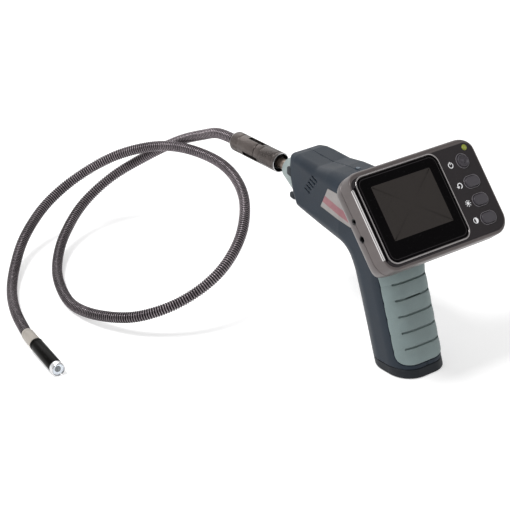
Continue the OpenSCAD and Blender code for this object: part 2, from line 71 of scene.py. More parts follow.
MONITOR_POS = np.array([0.0, -10.8, 120.0])
TILT = math.radians(40.75)  # how far the screen leans back
MON_W, MON_H, MON_R = 102.6, 64.4, 9.5  # housing: width, height, corner radius
SEAM = -10.5  # where the bezel meets the back
RIGHT_SWELL, LOWER_SWELL = 1.2, 2.0  # how far the housing's right and lower walls stand out
WIN = (-12.95, -0.75, 65.5, 56.1, 5.5)  # window: middle, width, height, corner radius
PIC = (-12.3, 1.8, 48.96, 36.72)  # picture area: middle, width, height
KEYS = ((39.4, 2.9), (39.4, -9.7), (39.4, -22.3))  # middles of the three oblong keys
KEY_W, KEY_H = 12.5, 8.0
POWER = (39.4, 17.4, 4.75)  # round key: middle, radius
LIGHT_AT = (45.4, 25.3)  # status light
STRIP_Y = -1.8  # middle of the bright strip on the left edge
JACK_Y = (4.7, -7.3)  # the video and charging jacks

HEAD_POS = np.array([-180.0, 181.0, 4.7])
HEAD_TURN = math.radians(-10.5)
SLEEVE, BARREL, RIM = 17.0, 34.5, 4.5  # lengths along the head

NECK_D = 7.4
RIB_PITCH = 1.75
PLUG_R = 7.0
# finger recesses: degrees round the plug, middle in Y, half length
RECESS_TURNS, RECESS_MIDDLE, RECESS_HALF = (-85, 35, 155), 161.0, 8.0
NECK_ROUTE = [
    (0, 186, 96.4), (0, 205, 95), (-1, 221, 89), (-4, 248, 76), (-16, 272, 59),
    (-37, 288, 42), (-62, 290, 26), (-88, 276, 13), (-109, 253, 6), (-124, 226, 4.25),
    (-133, 196, 4.25), (-132, 165, 9), (-120, 137, 16), (-98, 118, 28), (-71, 113, 42),
    (-45, 123, 56), (-24, 144, 68), (-10, 172, 74), (-4, 203, 76), (-9, 235, 76),
    (-18, 263, 70), (-36, 286, 59), (-61, 299, 44), (-88, 299, 30), (-114, 287, 17),
    (-136, 266, 8), (-155, 240, 4.25), (-169.4, 211.6, 4.25), (-180, 181, 4.7),
]


# ---------- materials ----------


class Nodes:
    """Short names for building one material's node tree."""

    def __init__(self, name):
        self.mat = bpy.data.materials.new(name)
        self.mat.use_nodes = True
        self.tree = self.mat.node_tree
        self.shader = self.tree.nodes["Principled BSDF"]
        self.place = self.new("ShaderNodeTexCoord").outputs["Object"]

    def fill(self, node, inputs):
        """Links each input that is given an output, and sets the others."""
        for key, value in inputs.items():
            if isinstance(value, bpy.types.NodeSocket):
                self.tree.links.new(value, node.inputs[key])
            else:
                node.inputs[key].default_value = value
        return node

    def new(self, kind, inputs=None, **settings):
        node = self.tree.nodes.new(kind)
        for key, value in settings.items():
            setattr(node, key, value)
        return self.fill(node, inputs or {})

    def dress(self, inputs):
        self.fill(self.shader, inputs)

    def noise(self, scale, detail=3.0, stretch=None):
        where = self.place
        if stretch:
            where = self.new("ShaderNodeMapping", {"Scale": stretch, "Vector": where}).outputs["Vector"]
        inputs = {"Scale": scale, "Detail": detail, "Roughness": 0.55, "Vector": where}
        return self.new("ShaderNodeTexNoise", inputs).outputs["Fac"]

    def ramp(self, value, low, high, out_low=0.0, out_high=1.0):
        inputs = {"Value": value, "From Min": low, "From Max": high, "To Min": out_low, "To Max": out_high}
        return self.new("ShaderNodeMapRange", inputs).outputs["Result"]

    def mix(self, fac, a, b):
        return self.new("ShaderNodeMix", {0: fac, 6: a, 7: b}, data_type="RGBA").outputs[2]

    def math(self, op, a, b):
        return self.new("ShaderNodeMath", {0: a, 1: b}, operation=op).outputs[0]

    def bump(self, height, strength, distance, under=None):
        inputs = {"Strength": strength, "Distance": distance, "Height": height}
        if under is not None:
            inputs["Normal"] = under
        return self.new("ShaderNodeBump", inputs).outputs["Normal"]


def linear(code, k=1.0):
    """A colour from its sRGB hex code, as linear light, times k."""
    rgb = [int(code[i : i + 2], 16) / 255 for i in (1, 3, 5)]
    lin = [(c / 12.92 if c <= 0.04045 else ((c + 0.055) / 1.055) ** 2.4) for c in rgb]
    return (*[min(1.0, c * k) for c in lin], 1.0)


# names of the shader's own sockets
SPECULAR, COAT, COAT_ROUGH = "Specular IOR Level", "Coat Weight", "Coat Roughness"
GLOW, STRENGTH, CLEAR = "Emission Color", "Emission Strength", "Transmission Weight"


def surface(name, colour, rough, metal, grain, depth, vary, wear, own=None, spread=0.07, stretch=None):
    """A moulded or machined surface: mottled colour, uneven gloss, fine grain, pale worn edges.

    The grain's depth is in thousandths of a millimetre, and own holds the shader's other values.
    """
    n = Nodes(name)
    base, dark, light = (linear(colour, k) for k in (1, 1 - vary, 1 + vary))
    worn = (*[min(1.0, c * 1.5 + 0.03) for c in base[:3]], 1.0)
    cloud = n.noise(38.0, 4.0)
    fine = n.noise(grain, 3.0, stretch)
    tone = n.mix(n.ramp(cloud, 0.35, 0.65), dark, light)
    tone = n.mix(n.ramp(fine, 0.62, 0.78, 0.0, 0.35), tone, worn)
    edge = n.new("ShaderNodeNewGeometry").outputs["Pointiness"]
    chipped = n.math("MULTIPLY", n.ramp(edge, 0.52, 0.60), n.ramp(n.noise(420.0), 0.35, 0.7))
    tone = n.mix(n.math("MULTIPLY", chipped, wear), tone, worn)
    uneven = n.math("ADD", cloud, n.math("MULTIPLY", fine, 0.6))
    normal = n.bump(fine, 0.5, depth * MM * MM)
    normal = n.bump(n.noise(grain / 6, 2.0), 0.25, depth * MM * MM * 3, normal)
    n.dress({"Base Color": tone, "Roughness": n.ramp(uneven, 0.5, 1.1, rough - spread, rough + spread),
             "Metallic": metal, COAT_ROUGH: 0.1, "Normal": normal})
    n.dress(own or {})
    return n.mat


def neck_material(name, low, high, rough):
    """Interlocked steel hose under a thin smoky skin, scuffed along its crowns. With near-black colours it gives the
    painted shade in the hose's grooves.
    """
    n = Nodes(name)
    scuff = n.noise(900.0, 3.0)
    tone = n.mix(n.ramp(n.noise(60.0, 4.0), 0.35, 0.65), linear(low), linear(high))
    tone = n.mix(n.ramp(scuff, 0.58, 0.75, 0.0, 0.4), tone, linear(high, 1.35))
    n.dress({"Base Color": tone, "Metallic": 0.5, "Normal": n.bump(scuff, 0.35, 0.00005),
             "Roughness": n.ramp(scuff, 0.3, 0.7, rough - 0.07, rough + 0.08)})
    return n.mat


def glow(name, colour, strength):
    """A small moulded light: a lit core under a tinted lens. On the head's reflector cup, which is no lamp, the glow is
    painted light.
    """
    return surface(name, colour, 0.25, 0, 1500, 20, 0.15, 0, {GLOW: linear(colour), STRENGTH: strength})


def label_material():
    """A blank two-tone sticker: pale satin film with a broad faded red band."""
    n = Nodes("label_print")
    band_slope, band_low, band_high, soft = 0.16, 0.0863, 0.0918, 0.0001
    split = n.new("ShaderNodeSeparateXYZ", {0: n.place})
    # height above the band's sloping lower edge, with a slight wander
    line = n.math("ADD", split.outputs["Z"], n.math("MULTIPLY", split.outputs["Y"], -band_slope))
    line = n.math("ADD", line, n.math("MULTIPLY", n.noise(1800.0), 0.0006))
    band = n.math("MULTIPLY", n.ramp(line, band_low - soft, band_low + soft),
                  n.ramp(line, band_high + soft, band_high - soft))
    cloud = n.ramp(n.noise(160.0, 4.0), 0.3, 0.7)
    film = n.mix(cloud, linear("#8b8785"), linear("#999492"))
    red = n.mix(cloud, linear("#8a5a60"), linear("#98696e"))
    n.dress({"Base Color": n.mix(band, film, red), "Normal": n.bump(n.noise(2500.0), 0.3, 0.00003),
             "Roughness": n.ramp(n.noise(700.0), 0.3, 0.7, 0.36, 0.52)})
    return n.mat


# name, colour, roughness, metal, grain, its depth, mottling, wear, the shader's other values
SURFACES = {
    "navy": ("handle_navy", "#1f2934", 0.46, 0, 2600, 60, 0.10, 0.30, {SPECULAR: 0.3}),
    # the cap's navy is a darker copy of the shells' navy: painted shade on the foot
    "navy_cap_in_shade": ("cap_navy_in_shade", "#171c22", 0.50, 0, 2400, 60, 0.10, 0.3, {SPECULAR: 0.3}),
    "cone": ("cone_grey", "#8d9a99", 0.42, 0, 2600, 40, 0.08, 0.2),
    "pad": ("pad_grey", "#7f8d8d", 0.62, 0, 1500, 120, 0.09, 0.15, {SPECULAR: 0.35}),
    "clip": ("black_plastic", "#20262c", 0.42, 0, 2400, 50, 0.10, 0.35, {SPECULAR: 0.3}),
    "housing": ("housing_grey", "#5d5655", 0.36, 0.35, 3200, 30, 0.08, 0.25),
    "face": ("face_dark", "#292527", 0.42, 0, 3000, 40, 0.1, 0.1, {SPECULAR: 0.15}),
    "window": ("window_gloss", "#050405", 0.10, 0, 900, 1, 0.2, 0, {SPECULAR: 0.02}, 0.02),
    "screen": ("screen_dark", "#322e2c", 0.30, 0, 2500, 2, 0.04, 0, {SPECULAR: 0.08}),
    "trim_bright": ("strip_silver", "#c9c6c6", 0.2, 1, 2200, 10, 0.05, 0, None, 0.07, (1, 6, 6)),
    # paler grey lips round the keys: painted highlight on the keys' edges
    "key_lip_highlight": ("key_lip_highlight", "#7b767c", 0.35, 0, 2200, 20, 0.1, 0.4),
    "trim": ("bright_trim", "#9d9999", 0.28, 1, 2200, 10, 0.05, 0, None, 0.07, (1, 6, 6)),
    # the keys' pale worn edges are partly wear and partly painted highlight along their bevels
    "key": ("key_dark", "#3f3b41", 0.42, 0, 2800, 50, 0.1, 0.8, {SPECULAR: 0.4}),
    "mark": ("mark_white", "#f2f2f4", 0.5, 0, 2500, 20, 0.04, 0),
    "jack": ("jack_black", "#121214", 0.35, 0, 2500, 50, 0.10, 0.3),
    "plug": ("plug_brown", "#524b48", 0.30, 0.6, 1100, 120, 0.35, 0.9),
    # near-black for the plug's bores and recesses: painted shade
    "plug_painted_shade": ("plug_painted_shade", "#0d0b0b", 0.45, 0, 1800, 50, 0.2, 0.1, {SPECULAR: 0.15}),
    "stub": ("stub_bronze", "#8a7c72", 0.28, 0.9, 1400, 30, 0.15, 0.2),
    "sleeve": ("sleeve_beige", "#a39c94", 0.40, 0, 2200, 40, 0.10, 0.2),
    "head": ("head_black", "#060504", 0.13, 0, 1500, 3, 0.2, 0, {SPECULAR: 0.035}, 0.03),
    "rim": ("rim_steel", "#d6d6d8", 0.15, 1, 1800, 10, 0.05, 0),
    "steel": ("steel", "#8f9296", 0.3, 1, 1800, 30, 0.12, 0.3),
    "brass": ("brass_contact", "#b98f43", 0.26, 1, 1800, 20, 0.12, 0.25),
    "board": ("board_green", "#1d5438", 0.38, 0, 1200, 60, 0.25, 0, {COAT: 0.4}),
    "rubber": ("seal_black", "#1a1a1c", 0.7, 0, 2200, 60, 0.15, 0.1),
    "cell": ("cell_wrap", "#7d6237", 0.3, 0.3, 1600, 20, 0.1, 0.25, {COAT: 0.5}),
    "foil": ("foil", "#aeb2b8", 0.34, 0.9, 500, 100, 0.12, 0.1),
    "pot": ("pot_blue", "#2c4a78", 0.42, 0, 2200, 50, 0.12, 0.25),
    "lens": ("lens_glass", "#0c0c14", 0.05, 0, 900, 3, 0.2, 0, {COAT: 1.0, COAT_ROUGH: 0.02}),
    "sensor": ("sensor_die", "#2f2f48", 0.15, 0.4, 3000, 20, 0.3, 0),
    "clear": ("clear_cover", "#e6edf2", 0.04, 0, 1200, 4, 0.02, 0, {CLEAR: 0.92, "IOR": 1.49}, 0.02),
}


def build_materials():
    m = {key: surface(*row) for key, row in SURFACES.items()}
    m["neck"] = neck_material("neck_skin", "#7b7277", "#958b90", 0.26)
    # near-black hose colours for the grooves: painted shade
    m["neck_groove_shade"] = neck_material("neck_groove_shade", "#0b0909", "#151213", 0.50)
    m["light_green"] = glow("light_green", "#868e31", 0.04)
    m["light_blue"] = glow("light_blue", "#51606e", 0.0)
    # the reflector cup glows though it is no lamp: painted light
    m["reflector"] = glow("reflector_painted_glow", "#f4f1f4", 0.7)
    m["light_white"] = glow("light_white", "#e6e3d8", 0.25)
    m["label"] = label_material()
    return m


# ---------- meshes ----------


def piece(name, verts, faces, material, body=None, slot=None, smooth=40.0, node=None, normals=None):
    """A mesh object from points in mm, ridden on its body in place of its CAD node."""
    mesh = bpy.data.meshes.new(name)
    mesh.from_pydata((np.asarray(verts, float) * MM).tolist(), [], [list(map(int, f)) for f in faces])
    return finish_mesh(name, mesh, material, body, slot, smooth, node, normals)


def finish_mesh(name, mesh, material, body, slot, smooth, node=None, normals=None):
    mesh.validate()
    mesh.update()
    obj = bpy.data.objects.new(name, mesh)
    bpy.context.scene.collection.objects.link(obj)
    for m in material if isinstance(material, (list, tuple)) else [material]:
        mesh.materials.append(m)
    mesh.polygons.foreach_set("use_smooth", np.ones(len(mesh.polygons), bool))
    if normals is not None:
        mesh.normals_split_custom_set_from_vertices(normals.tolist())
    elif smooth < 180:
        mesh.set_sharp_from_angle(angle=math.radians(smooth))
    if body:
        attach(obj, body)
    if node:
        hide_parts(node)
    return obj


def weld(obj, dist=1e-7):
    """Joins points that lie together, in metres, and turns every face outwards."""
    bm = bmesh.new()
    bm.from_mesh(obj.data)
    bmesh.ops.remove_doubles(bm, verts=bm.verts, dist=dist)
    bmesh.ops.recalc_face_normals(bm, faces=bm.faces)
    bm.to_mesh(obj.data)
    bm.free()
    return obj


def level(pts, z):
    """Plane points at one height."""
    return np.column_stack([pts, np.full(len(pts), z)])


def joined(first, second, flip=False):
    """Two sets of points and faces as one."""
    (v, f), (w, g) = first, second
    g = [tuple(i + len(v) for i in q) for q in g]
    return np.concatenate([v, w]), f + ([q[::-1] for q in g] if flip else g)


def loft(rings, close_start=True, close_end=True):
    """Faces that join equal rings of points in order, with a flat face at each closed end."""
    n = len(rings[0])
    verts = np.concatenate(rings)
    faces = []
    for k in range(len(rings) - 1):
        a = k * n
        b = a + n
        faces += [(a + i, a + (i + 1) % n, b + (i + 1) % n, b + i) for i in range(n)]
    if close_start:
        faces.append(tuple(range(n - 1, -1, -1)))
    if close_end:
        last = (len(rings) - 1) * n
        faces.append(tuple(range(last, last + n)))
    return verts, faces


def lathe(profile, count, place):
    """A turned piece: (radius, distance) pairs round local Z, then placed. Ends at radius 0 are closed."""
    turn = np.linspace(0, 2 * np.pi, count, endpoint=False)
    rings = [level(max(r, 1e-4) * np.column_stack([np.cos(turn), np.sin(turn)]), d) for r, d in profile]
    closed = profile[0] == profile[-1]
    verts, faces = loft(rings, not closed, not closed)
    return place(verts), faces


def turned(
    name, profile, place, material, body, slot, node=None, radius=0.25, count=48, closed=False, smooth=35
):
    """A lathed piece with its profile's corners rounded."""
    profile = rounded(profile, radius)
    if closed:
        profile = profile + [profile[0]]
    return piece(name, *lathe(profile, count, place), material, body, slot, smooth, node)


def rounded(profile, radius, steps=4):
    """The same open outline with each inner corner cut to an arc of the given radius."""
    out = [profile[0]]
    for a, b, c in zip(profile, profile[1:], profile[2:]):
        p, q, s = (np.array(v, float) for v in (a, b, c))
        u, w = p - q, s - q
        lu, lw = np.linalg.norm(u), np.linalg.norm(w)
        cut = min(radius, 0.45 * lu, 0.45 * lw)
        u, w = u / max(lu, 1e-9), w / max(lw, 1e-9)
        for t in np.linspace(0, 1, steps):
            out.append(tuple((1 - t) ** 2 * (q + u * cut) + 2 * t * (1 - t) * q + t * t * (q + w * cut)))
    out.append(profile[-1])
    return out


def outline(w, h, r, arc, straight):
    """Points of a rounded rectangle and the outward direction at each, anticlockwise from the right."""
    pts, out = [], []
    centres = np.array([(1, 1), (-1, 1), (-1, -1), (1, -1)]) * np.array([w / 2 - r, h / 2 - r])
    for k in range(4):
        for a in np.linspace(0, np.pi / 2, arc + 1) + k * np.pi / 2:
            out.append(np.array([math.cos(a), math.sin(a)]))
            pts.append(centres[k] + r * out[-1])
        start, end = pts[-1], centres[(k + 1) % 4] + r * out[-1]
        for t in np.linspace(0, 1, straight + 1)[1:-1]:
            pts.append(start + (end - start) * t)
            out.append(out[-1])
    return np.array(pts), np.array(out)


def in_monitor(v):
    """Points from the monitor's own axes (x right, y up the screen, z out of it) to the frame."""
    v = np.atleast_2d(v)
    u = np.array([0, math.sin(TILT), math.cos(TILT)])
    n = np.array([0, -math.cos(TILT), math.sin(TILT)])
    return MONITOR_POS + v[:, :1] * np.array([1.0, 0, 0]) + v[:, 1:2] * u + v[:, 2:3] * n


def monitor_at(at):
    """Places points in the monitor's axes, moved to a middle on its face."""
    return lambda v: in_monitor(np.atleast_2d(v) + np.array([at[0], at[1], 0]))


def on_axis(v):
    """Local Z runs along the barrel, from the probe's axis at Y = 0."""
    v = np.atleast_2d(v)
    return np.stack([v[:, 0], v[:, 2], AXIS_Z - v[:, 1]], 1)


def on_head(v):
    """Local Z runs along the camera head, from the end of the gooseneck."""
    v = np.atleast_2d(v)
    c, s = math.cos(HEAD_TURN), math.sin(HEAD_TURN)
    x, y, z = v[:, 0], -v[:, 2], v[:, 1]
    return HEAD_POS + np.stack([c * x - s * y, s * x + c * y, z], 1)


def boolean(obj, tools, operation="DIFFERENCE"):
    """Cuts or joins solids into obj, then removes them."""
    for tool in tools:
        m = obj.modifiers.new("cut", "BOOLEAN")
        m.operation = operation
        m.solver = "EXACT"
        m.object = tool
    dg = bpy.context.evaluated_depsgraph_get()
    mesh = bpy.data.meshes.new_from_object(obj.evaluated_get(dg), depsgraph=dg)
    old = obj.data
    obj.modifiers.clear()
    obj.data = mesh
    bpy.data.meshes.remove(old)
    for tool in tools:
        data = tool.data
        bpy.data.objects.remove(tool)
        bpy.data.meshes.remove(data)
    mesh.polygons.foreach_set("use_smooth", np.ones(len(mesh.polygons), bool))
    mesh.set_sharp_from_angle(angle=math.radians(30))


def tool_slab(w, h, r, z0, z1, at=(0, 0), arc=8):
    """A rounded slab used as a cutter, in the monitor's axes."""
    pts = outline(w, h, r, arc, 1)[0] + np.array(at)
    verts, faces = loft([level(pts, z0), level(pts, z1)])
    return piece("tool", in_monitor(verts), faces, [])


def tool_round(r, z0, z1, at, arc=8):
    """A round cutter, in the monitor's axes."""
    return tool_slab(2 * r, 2 * r, r - 0.01, z0, z1, at, arc)


def tool_cylinder(r, d0, d1, place, count=40):
    return piece("tool", *lathe([(r, d0), (r, d1)], count, place), [])


# ---------- solids from distance fields ----------


def rounded_box(u, v, hu, hv, r):
    """Distance in a plane to a rounded rectangle."""
    qu, qv = np.abs(u) - hu + r, np.abs(v) - hv + r
    return np.minimum(np.maximum(qu, qv), 0) + np.hypot(np.maximum(qu, 0), np.maximum(qv, 0)) - r


def both(a, b, r):
    """Where both fields hold, with the edge between them rounded to r."""
    return np.minimum(-r, np.maximum(a, b)) + np.hypot(np.maximum(a + r, 0), np.maximum(b + r, 0))


def minus(a, b, r):
    """Where a holds and b doesn't, with the edge rounded to r."""
    return both(a, -b, r)


def arc_corners(corners):
    """A closed outline whose corners are (y, z, radius), with each corner turned into an arc."""
    pts = []
    n = len(corners)
    for i, (y, z, r) in enumerate(corners):
        q = np.array([y, z])
        p = np.array(corners[i - 1][:2])
        s = np.array(corners[(i + 1) % n][:2])
        if r <= 0:
            pts.append(q)
            continue
        u, w = (p - q) / np.linalg.norm(p - q), (s - q) / np.linalg.norm(s - q)
        half = math.acos(max(-1, min(1, float(u @ w)))) / 2
        cut = min(r / math.tan(half), 0.49 * np.linalg.norm(p - q), 0.49 * np.linalg.norm(s - q))
        for t in np.linspace(0, 1, 7):
            pts.append((1 - t) ** 2 * (q + u * cut) + 2 * t * (1 - t) * q + t * t * (q + w * cut))
    return np.array(pts)


def polygon_distance(pts, y, z):
    """Signed distance in the y-z plane to a closed outline."""
    best = np.full(np.broadcast(y, z).shape, 1e12)
    sign = np.ones(best.shape)
    for a, b in zip(pts, np.roll(pts, -1, 0)):
        ey, ez = b - a
        wy, wz = y - a[0], z - a[1]
        t = np.clip((wy * ey + wz * ez) / (ey * ey + ez * ez + 1e-12), 0, 1)
        best = np.minimum(best, (wy - ey * t) ** 2 + (wz - ez * t) ** 2)
        up = (z >= a[1]) & (z < b[1]) & (ey * wz < ez * wy)
        down = (z < a[1]) & (z >= b[1]) & (ey * wz > ez * wy)
        sign = np.where(up | down, -sign, sign)
    return np.sqrt(best) * sign


def turned_yz(y, z, angle):
    """Y and Z in axes that lean forwards by the angle."""
    return y * math.cos(angle) - z * math.sin(angle), y * math.sin(angle) + z * math.cos(angle)


def screen_yz(y, z):
    """How far up the screen, and how far out of it, a point lies from the monitor's origin."""
    y, z = y - MONITOR_POS[1], z - MONITOR_POS[2]
    return math.sin(TILT) * y + math.cos(TILT) * z, -math.cos(TILT) * y + math.sin(TILT) * z


def grip_line(side, z):
    """Y on the grip's front (+1) or rear (-1) line at height z."""
    return side * GRIP_HALF[1] / math.cos(LEAN) + math.tan(LEAN) * z


# side view of the handle: (y, z, corner radius), from the foot's front up and round the nose
SIDE_VIEW = arc_corners([
    (grip_line(1, -20), -20, 0), (grip_line(1, 40), 40, 0), (46.2, 70.2, 13), (100.5, 80.6, 4),
    (105.2, 88.5, 5), (110.2, 103, 8), (108.8, 115.8, 2.5), (102, 117.0, 6), (80, 115.9, 10),
    (66, 117.9, 10), (50, 118.4, 0), (17.47, 117.42, 3.0), (-11.25, 84.09, 3.0),
    (grip_line(-1, 80.5), 80.5, 5), (grip_line(-1, -20), -20, 0),
])
# screw posts: (y, z)
BOSSES = ((96, 89), (96, 109.5), (62, 81.5), (60, 112), (24, 98))
GROOVES = [14.3 + GROOVE_PITCH * i for i in range(5)]


def handle_field(x, y, z):
    """The handle's outer skin: the side view, given width, with its long edges rounded."""
    side = polygon_distance(SIDE_VIEW, y, z)
    _, out = screen_yz(y, z)
    narrow = 5.0 * np.clip((y - 50) / 57, 0, 1.05) + 2.5 * np.clip((out + 48) / 25, 0, 1)
    up = np.clip((z - 60) / 18, 0, 1)
    ahead = np.clip((y - 50) / 45, 0, 1)
    return both(side, np.abs(x) - (GRIP_HALF[0] - narrow), GRIP_R - 4.5 * up - 5.0 * ahead)


def pad_mask(y, z):
    """The rubber pad's own outline in the grip's side view, less than nothing inside."""
    gy, gz = turned_yz(y, z, LEAN)
    return rounded_box(gy + 35.4, gz - 39.2, 25.0, 36.8, 10.0)


def pad_field(x, y, z):
    """The rubber pad: a skin over the grip that swells between its grooves."""
    _, gz = turned_yz(y, z, LEAN)
    skin = handle_field(x, y, z)
    swell = 0.35 + 0.35 * np.abs(np.cos(np.pi * (gz - GROOVES[0]) / GROOVE_PITCH - np.pi / 2)) ** 0.7
    f = both(skin - swell, pad_mask(y, z), 1.3)
    f = minus(f, skin + PAD_DEPTH, 0.1)
    for g in GROOVES:
        cut = np.maximum(np.abs(gz - g) - 0.62, np.abs(x - 1.0) - 15.0)
        f = minus(f, np.maximum(cut, -(skin + 0.75)), 0.25)
    return f


def shell_field(side):
    """One moulded half of the handle: -1 is the left, 1 the right."""

    def field(x, y, z):
        skin = handle_field(x, y, z)
        body = minus(skin, skin + WALL, 0.2)
        posts = [np.hypot(y - by, z - bz) for by, bz in BOSSES]
        for post in posts:
            body = np.minimum(body, np.maximum(np.maximum(post - BOSS_R, skin + 0.5), SCREW_R - post))
        body = minus(body, np.maximum(pad_mask(y, z) - 0.2, -(skin + POCKET_DEPTH)), 0.3)
        body = both(body, CAP_Z + 0.1 - z, 0.45)
        body = minus(body, np.hypot(x, z - AXIS_Z) - STUB_HOLE_R, 0.3)
        # pocket for the dock plate, in the monitor's axes
        u, out = screen_yz(y, z)
        body = minus(body, np.maximum(rounded_box(x, u + 7, 15.2, 19.2, 4.2), -25.5 - out), 0.3)
        if side < 0:
            # cooling slots, stepped back as they rise
            for i in range(-2, 3):
                slot_y, slot_z = (a + step * i for a, step in zip(SLOT_AT, SLOT_STEP))
                along, across = turned_yz(y - slot_y, z - slot_z, -SLOT_TILT)
                body = minus(body, np.maximum(rounded_box(along, across, 3.2, 0.5, 0.5), x + 13.5), 0.2)
            return both(body, x + SEAM_GAP, 0.32)
        # screw heads, the dimmer wheel's slot and the power light's hole
        for post in posts:
            body = minus(body, np.maximum(post - SCREW_HEAD_R, 11.0 - x), 0.3)
        body = minus(body, np.maximum(rounded_box(y - 80, z - 100, 9.4, 2.3, 0.6), 13.5 - x), 0.4)
        body = minus(body, np.maximum(np.hypot(x - 2.2, y - 58) - 1.6, 112.0 - z), 0.2)
        return both(body, SEAM_GAP - x, 0.32)

    return field


def foot_field(x, y, z):
    """The base cap: the foot of the grip, and the plug that enters the battery bay."""
    skin = handle_field(x, y, z)
    foot = both(np.maximum(skin + 0.05, -z), z - (CAP_Z - 0.12), 0.5)
    foot = both(foot, -z, 0.9)
    gy, gz = turned_yz(y, z, LEAN)
    tub = rounded_box(x, gy, GRIP_HALF[0] - WALL - 0.4, GRIP_HALF[1] - WALL - 0.4, GRIP_R - WALL)
    foot = np.minimum(foot, both(np.maximum(tub, 1.0 - z), gz - 12.0, 0.4))
    # shallow tread on the underside
    for k in range(-2, 3):
        foot = minus(foot, np.maximum(np.abs(y - 5.2 * k) - 0.5, np.maximum(z - 0.5, np.abs(x) - 12)), 0.2)
    return foot


def field_piece(name, field, low, high, step, material, body, slot, node):
    """The surface where field is nothing, as quads: one point in each cell that it crosses."""
    axes = [np.arange(a, b + step, step) for a, b in zip(low, high)]
    gx, gy, gz = axes[0][:, None, None], axes[1][None, :, None], axes[2][None, None, :]
    value = np.asarray(field(gx, gy, gz)) + np.zeros((len(axes[0]), len(axes[1]), len(axes[2])))
    inside = value < 0
    count = sum(
        inside[i : inside.shape[0] - 1 + i, j : inside.shape[1] - 1 + j, k : inside.shape[2] - 1 + k].astype(np.int8)
        for i in (0, 1) for j in (0, 1) for k in (0, 1)
    )
    mixed = (count > 0) & (count < 8)
    number = np.full(mixed.shape, -1, np.int64)
    cells = np.argwhere(mixed)
    number[mixed] = np.arange(len(cells))
    total, hits = np.zeros((len(cells), 3)), np.zeros(len(cells))
    corners = [np.array(c) for c in np.ndindex(2, 2, 2)]
    for a in corners:
        for b in corners:
            if (b - a).sum() == 1 and (b - a).min() == 0:
                va, vb = value[tuple((cells + a).T)], value[tuple((cells + b).T)]
                cross = (va < 0) != (vb < 0)
                t = np.where(cross, va / np.where(cross, va - vb, 1), 0)
                total += np.where(cross[:, None], a + t[:, None] * (b - a), 0)
                hits += cross
    verts = (cells + total / hits[:, None]) * step + np.array([a[0] for a in axes])
    start = verts.copy()
    for _ in range(3):
        slope, here = gradient(field, verts)
        move = here[:, None] * slope / np.maximum((slope**2).sum(1), 0.25)[:, None]
        verts = start + np.clip(verts - move - start, -0.7 * step, 0.7 * step)
    faces = []
    for axis in range(3):
        o1, o2 = [(1, 2), (2, 0), (0, 1)][axis]
        lo = [slice(1, -1)] * 3
        lo[axis] = slice(0, -1)
        hi = list(lo)
        hi[axis] = slice(1, None)
        change = inside[tuple(lo)] != inside[tuple(hi)]
        at = np.argwhere(change)
        at[:, o1] += 1
        at[:, o2] += 1
        step1, step2 = np.zeros(3, int), np.zeros(3, int)
        step1[o1] = step2[o2] = 1
        quad = np.stack(
            [number[tuple(p.T)] for p in (at - step1 - step2, at - step2, at, at - step1)], 1
        )
        filled = inside[tuple(at.T)]
        quad[~filled] = quad[~filled][:, ::-1]
        faces.append(quad)
    faces = np.concatenate(faces)
    faces = faces[(faces >= 0).all(1)]
    slope, _ = gradient(field, verts)
    normals = slope / np.maximum(np.linalg.norm(slope, axis=1), 1e-9)[:, None]
    piece(name, verts, faces, material, body, slot, node=node, normals=normals)


def gradient(field, p, eps=0.06):
    """The field's slope at each point, and its value there."""
    x, y, z = p.T
    g = np.stack(
        [
            field(x + eps, y, z) - field(x - eps, y, z),
            field(x, y + eps, z) - field(x, y - eps, z),
            field(x, y, z + eps) - field(x, y, z - eps),
        ],
        1,
    )
    return g / (2 * eps), field(x, y, z)


# ---------- camera first ----------


def make_camera():
    cam = bpy.data.cameras.new("view")
    cam.lens = CAMERA_LENS
    cam.sensor_width = 36
    cam.clip_start = 0.05
    cam.clip_end = 20
    obj = bpy.data.objects.new("view", cam)
    look = (CAMERA_AIM - CAMERA_EYE).to_track_quat("-Z", "Y").to_matrix().to_4x4()
    obj.matrix_world = Matrix.Translation(CAMERA_EYE) @ look @ Matrix.Rotation(math.radians(CAMERA_ROLL), 4, "Z")
    bpy.context.scene.collection.objects.link(obj)
    bpy.context.scene.camera = obj


# ---------- the probe ----------


def smooth_line(points, per_span=24):
    """Catmull-Rom through the points, as the CAD has it, with its ends held."""
    p = np.array(points, float)
    p = np.vstack([p[:1], p, p[-1:]])
    line = []
    for i in range(1, len(p) - 2):
        a, b, c, d = p[i - 1 : i + 3]
        for t in np.linspace(0, 1, per_span, endpoint=False):
            line.append(
                0.5 * (2 * b + (c - a) * t + (2 * a - 5 * b + 4 * c - d) * t**2 + (3 * b - a - 3 * c + d) * t**3)
            )
    line.append(p[-2])
    return np.array(line)


def evenly(line, step):
    """Points every `step` along the line, and the line's length."""
    gap = np.r_[0, np.cumsum(np.linalg.norm(np.diff(line, axis=0), axis=1))]
    at = np.linspace(0, gap[-1], max(2, int(round(gap[-1] / step)) + 1))
    return np.column_stack([np.interp(at, gap, line[:, k]) for k in range(3)]), gap[-1]


